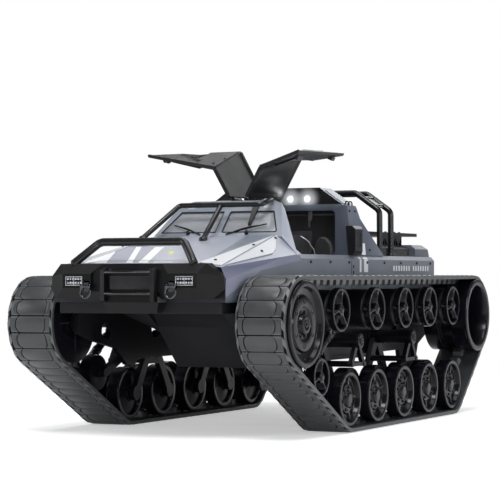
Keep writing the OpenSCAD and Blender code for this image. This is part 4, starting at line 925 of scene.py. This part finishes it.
def front():
    # bumper faces: the centre recess gets the darker recess tone (painted shade), the upward front slopes the lighter
    # slope tone (painted light), the rest the plain black
    def paint(c, n):
        if c.y > -238.2 and c.y < -234 and n.y < -0.8 and abs(c.x) < 34:
            return 1
        if abs(c.x) < 33.6 - (c.z - 126) * 1.0 and c.z > 126.1 and n.y < -0.3:
            return 1
        if n.z > 0.35 and n.y < -0.2 and c.z > 124:
            return 2
        return 0
    mitre = [((sg * 33.4, 0, 126.2), (1, 0, sg * 1.0)) for sg in (1, -1)]
    cad_copy("front_bumper", 0.45, M["bumper"], name="front_bumper_shell", facets=True, cuts=mitre, paint=paint, extra_mats=(M["bumper_deep"], M["bumper_top"]))
    bm = bmesh.new()
    sweep(bm, soft([(-51.8, -231.8, 134.05), (-36.4, -217.4, 150.6), (36.4, -217.4, 150.6), (51.8, -231.8, 134.05)], 7, 12), 3.2, normal=(0, 16.55, -14.4), n=28)
    finish_obj("bull_bar_tube", bm, M["tube"], "vehicle", ["bull_bar"], smooth=40)
    # shackles
    bm = bmesh.new()
    for s in (-1, 1):
        cx, cz, y = s * 36.5, 112.4, -240.4
        sweep(bm, [(cx + 4.4 * sin(t), y, cz + 4.4 * cos(t)) for t in [2 * pi * k / 36 for k in range(36)]], 0.85, normal=(0, 1, 0), n=14, closed=True)
        sweep(bm, [(cx - 3.2, -240.2, 116.8), (cx + 3.2, -240.2, 116.8)], 1.2, n=16)
        for q in (-1, 1):
            sweep(bm, [(cx + q * 3.0, -240.2, 116.8), (cx + q * 3.9, -240.2, 116.8)], 1.7, n=6)
        vs = [(cx + sx * 2.1, yy, zz) for sx in (-1, 1) for yy, zz in ((-239.3, 112.6), (-236.2, 112.6), (-236.2, 121), (-239.3, 119.6))]
        from_faces(bm, vs, [(0, 1, 2, 3), (4, 7, 6, 5), (0, 4, 5, 1), (1, 5, 6, 2), (2, 6, 7, 3), (3, 7, 4, 0)])
    bmesh.ops.recalc_face_normals(bm, faces=bm.faces)
    finish_obj("tow_shackle_rings", bm, M["shackle"], "vehicle", ["tow_shackles"], smooth=40)
    # winch plate: inner frame, four screws and two bright bars
    bm = bmesh.new()
    PL = ((0, -236.2, 0), (1, 0, 0), (0, 0, 1), (0, -1, 0))
    slab(bm, rounded([(-17.5, 114.5), (17.5, 114.5), (17.5, 124.5), (-17.5, 124.5)], 1.5, 3), PL, 0.0, 0.7, 0.3)
    for x in (-17.2, 17.2):
        for z in (109.4, 129.0):
            hexhead(bm, (x, -236.3, z), (0, -1, 0), 1.0, 0.7)
    finish_obj("winch_plate", bm, M["bumper"], "vehicle")
    bm = bmesh.new()
    for z in (111.3, 127.4):
        sweep(bm, [(-19.4, -241.2, z), (19.4, -241.2, z)], 0.75, n=12)
    finish_obj("winch_rails", bm, M["shackle"], "vehicle")
    # lamps: bumper clusters, roof lamps, tail lamps
    bm = bmesh.new()
    for s in (-1, 1):
        FR = ((s * 47.4, -239.2, 120.9), (1, 0, 0), (0, 0, 1), (0, -1, 0))
        # bright surround
        for a, b in (((-7.4, -3.5), (7.4, -2.9)), ((-7.4, 2.9), (7.4, 3.5)), ((-7.4, -3.0), (-6.8, 3.0)), ((6.8, -3.0), (7.4, 3.0)), ((-0.25, -3.0), (0.25, 3.0))):
            slab(bm, [(a[0], a[1]), (b[0], a[1]), (b[0], b[1]), (a[0], b[1])], FR, -1.0, 0.2, 0.08, 0)
        # dark plate behind the cells in the recess tone: painted shade in the lamp housing
        slab(bm, [(-6.9, -3.0), (6.9, -3.0), (6.9, 3.0), (-6.9, 3.0)], FR, -3.0, -1.4, 0.1, 2)
        for i in range(6):
            for j in range(2):
                x, z = -5.7 + i * 2.28, -1.5 + j * 3.0
                q = 0.78 if (i * 5 + j * 3) % 4 else 0.45
                slab(bm, rounded([(x - q, z - 0.75), (x + q, z - 0.75), (x + q, z + 0.75), (x - q, z + 0.75)], 0.3, 2), FR, -1.5, -0.5, 0.25, 1)
    finish_obj("bumper_lamp_cells", bm, [M["chrome"], M["led"], M["bumper_deep"]], "vehicle", ["lamp_units"])
    bm = bmesh.new()
    for x in (-31.5, -15.5, 15.5, 31.5):
        # reflector ring and a domed lens, turned about Y
        def turn(pr, mi):
            rings = []
            for r, y in pr:
                rings.append([bm.verts.new((x + r * cos(2 * pi * k / 28), y, 190.9 + r * sin(2 * pi * k / 28))) for k in range(28)] if r > 1e-4 else [bm.verts.new((x, y, 190.9))])
            for a, b in zip(rings, rings[1:] + rings[:1]):
                if len(a) == 1 and len(b) == 1:
                    continue
                for k in range(28):
                    k2 = (k + 1) % 28
                    f = [a[0], b[k], b[k2]] if len(a) == 1 else ([a[k], a[k2], b[0]] if len(b) == 1 else [a[k], a[k2], b[k2], b[k]])
                    bm.faces.new(f).material_index = mi
        turn([(4.05, 23.6), (4.05, 20.9), (3.7, 20.5), (3.3, 20.9), (3.2, 21.6), (3.2, 23.6)], 0)
        turn([(0, 22.6), (3.15, 22.6), (3.25, 21.5), (2.9, 20.9), (2.0, 20.5), (1.0, 20.35), (0, 20.3)], 1)
    bmesh.ops.recalc_face_normals(bm, faces=bm.faces)
    finish_obj("roof_lamps", bm, [M["panel"], M["lens"]], "vehicle", smooth=45)
    bm = bmesh.new()
    for s in (-1, 1):
        FR = ((s * 60, 216, 128), (1, 0, 0), (0, 0, 1), (0, 1, 0))
        slab(bm, rounded([(-8, -4), (8, -4), (8, 4), (-8, 4)], 1.2, 3), FR, 0.0, 1.6, 0.4, 0)
        for i in range(5):
            slab(bm, [(-6.6 + i * 2.8, -2.9), (-4.6 + i * 2.8, -2.9), (-4.6 + i * 2.8, 2.9), (-6.6 + i * 2.8, 2.9)], FR, 1.4, 2.2, 0.3, 1)
    finish_obj("tail_lamps", bm, [M["trim"], M["red_lens"]], "vehicle")


# ------------------------------------------------------------------ doors
def doors():
    for name, w in (("left", 1), ("right", -1)):
        cad_copy(f"door_{name}", 0.4, M["door"], body=f"door_{name}", name=f"door_{name}_panel", facets=True)
        rot = Matrix.Translation((6, 0, 188)) @ Matrix.Rotation(radians(-65), 4, "Y") @ Matrix.Translation((-6, 0, -188))
        T = lambda p: rot @ Vector(p)
        f0, f1 = Vector((37.6, -52.3, 186.4)), Vector((57.6, 17, 185.2))
        b0, b1 = Vector((67.5, -81, 146.2)), Vector((70.2, 10, 146.2))
        bm = bmesh.new()
        # toothed seal along the fold between roof and side skin
        d = (f1 - f0)
        n = 22
        for i in range(n):
            p = f0 + d * ((i + 0.5) / n)
            if i > n - 3:
                continue
            q = p + Vector((0.45, 0, 0.9)) * 0.35
            sweep(bm, [T(q + Vector((0, -0.8, 0))), T(q + Vector((0.2, 0.8, 0)))], 0.6, n=8)
        bil = lambda u, v: f0.lerp(f1, u).lerp(b0.lerp(b1, u), v)
        loop = [bil(u, v) + Vector((0.8, 0, 0.6)) * 0.7 for u, v in ((0.17, 0.33), (0.81, 0.33), (0.83, 0.67), (0.2, 0.67))]
        path = []
        for k in range(4):
            a, b = loop[k], loop[(k + 1) % 4]
            path += [a.lerp(b, t) for t in (0.06, 0.35, 0.65, 0.94)]
        sweep(bm, [T(q) for q in path], 1.0, n=10, closed=True)
        for u in (0.35, 0.5, 0.65):
            sweep(bm, [T(bil(u, 0.35) + Vector((0.1, 0, 0.1))), T(bil(u, 0.66) + Vector((0.1, 0, 0.1)))], 0.5, n=8)
        # rolled rear flange of the roof skin, and its front lip
        sweep(bm, [T((12, 15.9, 188.2)), T((55.6, 15.9, 185.6))], 1.25, n=14)
        sweep(bm, [T((11, -51.4, 188.2)), T((36.8, -51.4, 186.6))], 0.7, n=12)
        sweep(bm, [T(f0 + Vector((0.6, 0.6, -0.6))), T(b0 + Vector((-0.4, 0.9, 0.8)))], 0.8, n=12)
        finish_obj(f"door_{name}_edge_studs", bm, M["trim"], f"door_{name}", mirror=w < 0)
        bm = bmesh.new()
        # bolts round the window frame, outside; corners follow the side skin
        nrm = (b0 - f0).cross(b1 - f0).normalized()
        if nrm.x < 0:
            nrm = -nrm
        R3 = rot.to_3x3()
        for u, v in ((0.18, 0.1), (0.5, 0.05), (0.82, 0.1), (0.14, 0.62), (0.86, 0.6), (0.5, 0.68)):
            top = f0.lerp(f1, u)
            bot = b0.lerp(b1, u)
            p = top.lerp(bot, v)
            hexhead(bm, T(p + nrm * 0.02), R3 @ nrm, 1.15, 0.8)
        # inside grab handle, a bent wire
        h = [(60.6, -36, 160.5), (57.0, -36, 160.2), (56.2, -34.4, 160.2), (56.2, -13.6, 160.2), (57.0, -12, 160.2), (60.6, -12, 160.5)]
        finish_obj(f"door_{name}_bolts", bm, M["screw"], f"door_{name}", mirror=w < 0)
        bm = bmesh.new()
        sweep(bm, soft([T(p) for p in h], 0.8, 5), 0.6, n=10)
        # latch block and lever near the lower edge
        def blk(c, sx, sy, sz):
            vs = [T((c[0] + i * sx, c[1] + j * sy, c[2] + k * sz)) for i in (-1, 1) for j in (-1, 1) for k in (-1, 1)]
            from_faces(bm, vs, [(0, 1, 3, 2), (4, 6, 7, 5), (0, 4, 5, 1), (2, 3, 7, 6), (0, 2, 6, 4), (1, 5, 7, 3)])
        blk((60.2, -62, 153.6), 1.5, 4.5, 2.6)
        blk((62.6, 2, 152.5), 1.5, 3.2, 2.4)
        blk((58.4, -62, 153.6), 1.0, 1.2, 1.2)
        bmesh.ops.recalc_face_normals(bm, faces=bm.faces)
        finish_obj(f"door_{name}_latch", bm, M["trim"], f"door_{name}", mirror=w < 0)
        # roof liner: a shallow pressed panel inside the upper skin
        bm = bmesh.new()
        def roofpt(x, y):
            return Vector((x, y, 185.9 if x < 20 else 185.9 - (x - 12) * 0.052))
        outl = [(14, -47), (34.5, -47), (50.5, 11.5), (14, 11.5)]
        vs0 = [T(Vector((x, y, 185.9 - (x - 9.6) * 0.062))) for x, y in outl]
        cen = Vector((sum(p[0] for p in outl) / 4, sum(p[1] for p in outl) / 4))
        vs1 = []
        for x, y in outl:
            q = Vector((x, y)).lerp(cen, 0.1)
            vs1.append(T(Vector((q.x, q.y, 185.3 - (q.x - 9.6) * 0.062))))
        from_faces(bm, vs0 + vs1, [(4, 5, 6, 7), (0, 1, 5, 4), (1, 2, 6, 5), (2, 3, 7, 6), (3, 0, 4, 7), (3, 2, 1, 0)])
        bmesh.ops.recalc_face_normals(bm, faces=bm.faces)
        finish_obj(f"door_{name}_liner", bm, M["door_in"], f"door_{name}", mirror=w < 0)
    cad_copy("door_hinges", 0.3, M["trim"], name="door_hinge_strip", keep_curves=True)


# ------------------------------------------------------------------ rear
def rear():
    bm = bmesh.new()
    for y in (97.2, 124):
        sweep(bm, soft([(-68, y, 142.05), (-67.8, y, 182.4), (-45, y, 198.6), (45, y, 198.6), (67.8, y, 182.4), (68, y, 142.05)], 7, 10), 2.65, normal=(0, 1, 0), n=24, caps=False)
        for s in (-1, 1):
            sweep(bm, [(s * 68, y, 142.0), (s * 68, y, 143.6)], 3.7, n=24)
    for s in (-1, 1):
        for k in (0.3, 0.72):
            sweep(bm, [(s * (67.8 - 22.8 * k), 97.4, 182.4 + 16.2 * k), (s * (67.8 - 22.8 * k), 123.8, 182.4 + 16.2 * k)], 1.6, n=16, caps=False)
        # infill plate between the hoops on the slope
        a, b = Vector((s * 63.2, 0, 185.7)), Vector((s * 49.5, 0, 195.4))
        d = (b - a).normalized()
        nn = Vector((s * 0.579, 0, 0.815))
        F = (tuple(a), tuple(d), (0, 1, 0), tuple(nn))
        slab(bm, [(0, 99), (16.5, 99), (16.5, 122.2), (0, 122.2)], F, -0.6, 0.6, 0.2)
    for x in (-30, 30):
        sweep(bm, [(x, 46.1, 195.8), (x, 97, 195.8)], 1.7, n=16, caps=False)
    bmesh.ops.recalc_face_normals(bm, faces=bm.faces)
    finish_obj("roll_hoop_tubes", bm, M["tube"], "vehicle", ["roll_hoops"], smooth=40)
    cad_copy("engine_deck", 0.4, M["deck"], name="engine_deck_cover",
             paint=lambda c, n: 1 if c.y > 178 else 0, extra_mats=(M["deck_block"],))
    # slanting mesh bars over the side louvres
    for s, w in SIDES:
        bm = bmesh.new()
        for i in range(26):
            y = 99 + i * 3.0
            for dy in (4.2, -4.2):
                p, q = Vector((64.2, y, 143.0)), Vector((64.2, y + dy, 148.9))
                if q.y > 176 or q.y < 97:
                    continue
                sweep(bm, [p, q], 0.4, normal=(1, 0, 0), n=6)
        sweep(bm, [(64.2, 96, 142.7), (64.2, 177, 142.7)], 0.6, n=8)
        sweep(bm, [(64.2, 96, 149.2), (64.2, 177, 149.2)], 0.6, n=8)
        bmesh.ops.recalc_face_normals(bm, faces=bm.faces)
        finish_obj(f"deck_side_mesh_{s}", bm, M["grey_part"], "vehicle", mirror=w < 0)
    cad_copy("rear_rack", 0.35, M["rack"], name="rear_rack_plate")


def inside():
    cad_copy("hull_tub", 0.6, M["tub"], name="hull_tub_shell")
    cad_copy("cabin_interior", 0.5, M["inside"], name="cabin_fittings")
    bm = bmesh.new()        # seat bolsters, grab rail, hanging lamp and curtain rod seen through the doorway
    for s in (1, -1):
        arch = [(40.4, 113.2), (57.2, 113.2), (57.0, 147.5), (55.6, 152.6), (52.6, 156.4), (49, 157.9), (46, 157.7), (43.2, 155.2), (41.2, 150.6), (40.6, 146)]
        slab(bm, [(s * x, z) for x, z in rounded(arch, 1.5, 3)], ((0, 19.0, 0), (1, 0, 0), (0, 0, 1), (0, -1, 0)), 0.0, 4.6, 1.6, 0)
        rail = [(47.8, -29.5, 157.6), (50, -24.6, 155.3), (51.6, -21.5, 152.9), (52.6, -18.9, 149.6), (53.6, -15.3, 146.2), (54, -13, 140), (54, -12.4, 113.2)]
        sweep(bm, [(s * x, y, z) for x, y, z in rail], 0.62, normal=(1, 0, 0.2), n=10, mi=1)
        for a, b in (((31.6, 173.2), (35.0, 180.4)), ((32.4, 171.8), (34.2, 173.4)), ((32.0, 166.2), (33.0, 172.0))):
            slab(bm, [(s * a[0], a[1]), (s * b[0], a[1]), (s * b[0], b[1]), (s * a[0], b[1])], ((0, 24.5, 0), (1, 0, 0), (0, 0, 1), (0, -1, 0)), 0.0, 2.4, 0.3, 2)
    sweep(bm, [(-56, 26.2, 177.2), (56, 26.2, 177.2)], 0.75, n=12, mi=2)
    finish_obj("cabin_trim", bm, [M["inside"], M["shine"], M["grey_part"]], "vehicle")
    cad_copy("battery_pack", 1.2, M["wrap"], name="battery_cells", seg=3)
    cad_copy("drive_units", 0.4, M["steel"], name="drive_motor_cases", keep_curves=True)
    cad_copy("control_board", 0.2, M["board"], name="control_board_assembly", keep_curves=True)
    # fasteners as real screw heads, from the CAD's own solids
    src = N["fasteners"].data
    bm = bmesh.new()
    bm.from_mesh(src)
    bmesh.ops.remove_doubles(bm, verts=bm.verts, dist=2e-6)
    seen, heads = set(), []
    for v in bm.verts:
        if v in seen:
            continue
        stack, isl = [v], []
        seen.add(v)
        while stack:
            q = stack.pop()
            isl.append(q)
            for e in q.link_edges:
                t = e.other_vert(q)
                if t not in seen:
                    seen.add(t)
                    stack.append(t)
        faces = {f for q in isl for f in q.link_faces}
        cen = sum((q.co for q in isl), Vector()) / len(isl)
        areas = {}
        for f in faces:
            k = tuple(round(c, 2) for c in f.normal)
            areas[k] = areas.get(k, 0) + f.calc_area()
        best = sorted(areas.items(), key=lambda t: -t[1])[:2]
        n = Vector(best[0][0]).normalized()
        out = Vector((cen.x, 0, max(0.0, cen.z - 0.12)))
        if n.dot(out) < 0:
            n = -n
        lo = min((q.co - cen).dot(n) for q in isl)
        hi = max((q.co - cen).dot(n) for q in isl)
        r = max((q.co - cen - n * (q.co - cen).dot(n)).length for q in isl)
        heads.append(((cen + n * lo) / MM, n.copy(), r / MM, (hi - lo) / MM))
    bm.free()
    heads.sort(key=lambda h: tuple(round(c, 3) for c in h[0]))
    bm = bmesh.new()
    for p, n, r, h in heads:
        hexhead(bm, p, n, r, h, n=12)
    finish_obj("screw_heads", bm, M["screw"], "vehicle", ["fasteners"], smooth=40)


# ------------------------------------------------------------------ stage and light
def stage():
    me = bpy.data.meshes.new("floor")
    bm = bmesh.new()
    n, radii = 96, [0.0, 0.4, 0.8, 1.4, 2.4, 4, 8, 20]
    prev = None
    for r in radii:
        ring = [bm.verts.new((r * cos(2 * pi * k / n), r * sin(2 * pi * k / n), -0.0002)) for k in range(n)] if r else [bm.verts.new((0, 0, -0.0002))]
        if prev:
            for k in range(n):
                k2 = (k + 1) % n
                bm.faces.new([prev[0], ring[k], ring[k2]] if len(prev) == 1 else [prev[k], ring[k], ring[k2], prev[k2]])
        prev = ring
    bm.to_mesh(me)
    bm.free()
    o = bpy.data.objects.new("floor", me)
    SC.collection.objects.link(o)
    m = bpy.data.materials.new("floor_mat")
    m.use_nodes = True
    nt = m.node_tree
    nt.nodes.clear()
    L = nt.links.new
    out = nt.nodes.new("ShaderNodeOutputMaterial")
    mix = nt.nodes.new("ShaderNodeMixShader")
    df = nt.nodes.new("ShaderNodeBsdfDiffuse")
    df.inputs[0].default_value = (0.93, 0.93, 0.93, 1)
    em = nt.nodes.new("ShaderNodeEmission")
    em.inputs[0].default_value = (1, 1, 1, 1)
    em.inputs[1].default_value = 1.0
    tc = nt.nodes.new("ShaderNodeTexCoord")
    ln = nt.nodes.new("ShaderNodeVectorMath")
    ln.operation = "LENGTH"
    L(tc.outputs["Object"], ln.inputs[0])
    mr = nt.nodes.new("ShaderNodeMapRange")
    mr.interpolation_type = "SMOOTHSTEP"
    mr.inputs["From Min"].default_value, mr.inputs["From Max"].default_value = 0.34, 0.8
    L(ln.outputs["Value"], mr.inputs["Value"])
    L(mr.outputs[0], mix.inputs[0])
    ad = nt.nodes.new("ShaderNodeAddShader")
    e2 = nt.nodes.new("ShaderNodeEmission")
    e2.inputs[0].default_value = (1, 1, 1, 1)
    lpf = nt.nodes.new("ShaderNodeLightPath")
    mrf = nt.nodes.new("ShaderNodeMapRange")
    mrf.inputs["To Min"].default_value, mrf.inputs["To Max"].default_value = 0.1, 0.46
    L(lpf.outputs["Is Camera Ray"], mrf.inputs["Value"])
    L(mrf.outputs[0], e2.inputs[1])
    L(df.outputs[0], ad.inputs[0])
    L(e2.outputs[0], ad.inputs[1])
    L(ad.outputs[0], mix.inputs[1])
    L(em.outputs[0], mix.inputs[2])
    L(mix.outputs[0], out.inputs[0])
    me.materials.append(m)
    o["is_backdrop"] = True
    wd = bpy.data.worlds.new("world")
    SC.world = wd
    wd.use_nodes = True
    nt = wd.node_tree
    nt.nodes.clear()
    out = nt.nodes.new("ShaderNodeOutputWorld")
    bg = nt.nodes.new("ShaderNodeBackground")
    bg2 = nt.nodes.new("ShaderNodeBackground")
    lp = nt.nodes.new("ShaderNodeLightPath")
    mx = nt.nodes.new("ShaderNodeMixShader")
    bg.inputs[0].default_value = (0.93, 0.96, 1.0, 1)
    bg.inputs[1].default_value = 0.17
    bg2.inputs[0].default_value = (1, 1, 1, 1)
    bg2.inputs[1].default_value = 1.0
    nt.links.new(lp.outputs["Is Camera Ray"], mx.inputs[0])
    nt.links.new(bg.outputs[0], mx.inputs[1])
    nt.links.new(bg2.outputs[0], mx.inputs[2])
    nt.links.new(mx.outputs[0], out.inputs[0])

    def area(name, loc, target, size, power, col=(1, 1, 1)):
        l = bpy.data.lights.new(name, "AREA")
        l.shape, l.size, l.size_y, l.energy, l.color = "RECTANGLE", size[0], size[1], power, col
        ob = bpy.data.objects.new(name, l)
        SC.collection.objects.link(ob)
        ob.location = loc
        ob.rotation_euler = (Vector(target) - Vector(loc)).to_track_quat("-Z", "Y").to_euler()
    area("key", (0.25, -0.75, 1.15), (0, -0.05, 0.1), (0.55, 0.4), 9.0)
    area("top", (0.0, 0.1, 1.3), (0, 0, 0.1), (1.0, 0.8), 6.5)
    area("side", (1.35, 0.15, 0.45), (0.1, 0, 0.09), (0.6, 0.35), 4.2, (0.92, 0.95, 1.0))
    area("left", (-1.1, -0.7, 0.6), (0, -0.1, 0.1), (0.5, 0.5), 2.6)
    area("low_right", (1.0, -1.0, 0.32), (0.05, -0.05, 0.1), (0.35, 0.25), 2.0)
    area("rim", (-0.3, 1.2, 0.7), (0, 0, 0.12), (0.9, 0.5), 4.5)
    for x in (-31.5, -15.5, 15.5, 31.5):
        l = bpy.data.lights.new("lamp_glow", "POINT")
        l.energy, l.shadow_soft_size = 0.0014, 0.002
        ob = bpy.data.objects.new("lamp_glow", l)
        SC.collection.objects.link(ob)
        ob.location = Vector((x, 16.5, 190.9)) * MM
    if hasattr(SC, "view_settings"):
        SC.view_settings.view_transform = "Standard"
        SC.view_settings.look = "None"


add_camera()
for side, w in SIDES:
    belt(side, w)
wheels()
suspension()
body()
windscreen()
front()
doors()
rear()
inside()
stage()


def plain(b):
    return [[float(v) for v in q] for q in b] if hasattr(b[0], "__len__") else [float(v) for v in b]


box1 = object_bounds()
{"cad": plain(box0), "visual": plain(box1)}
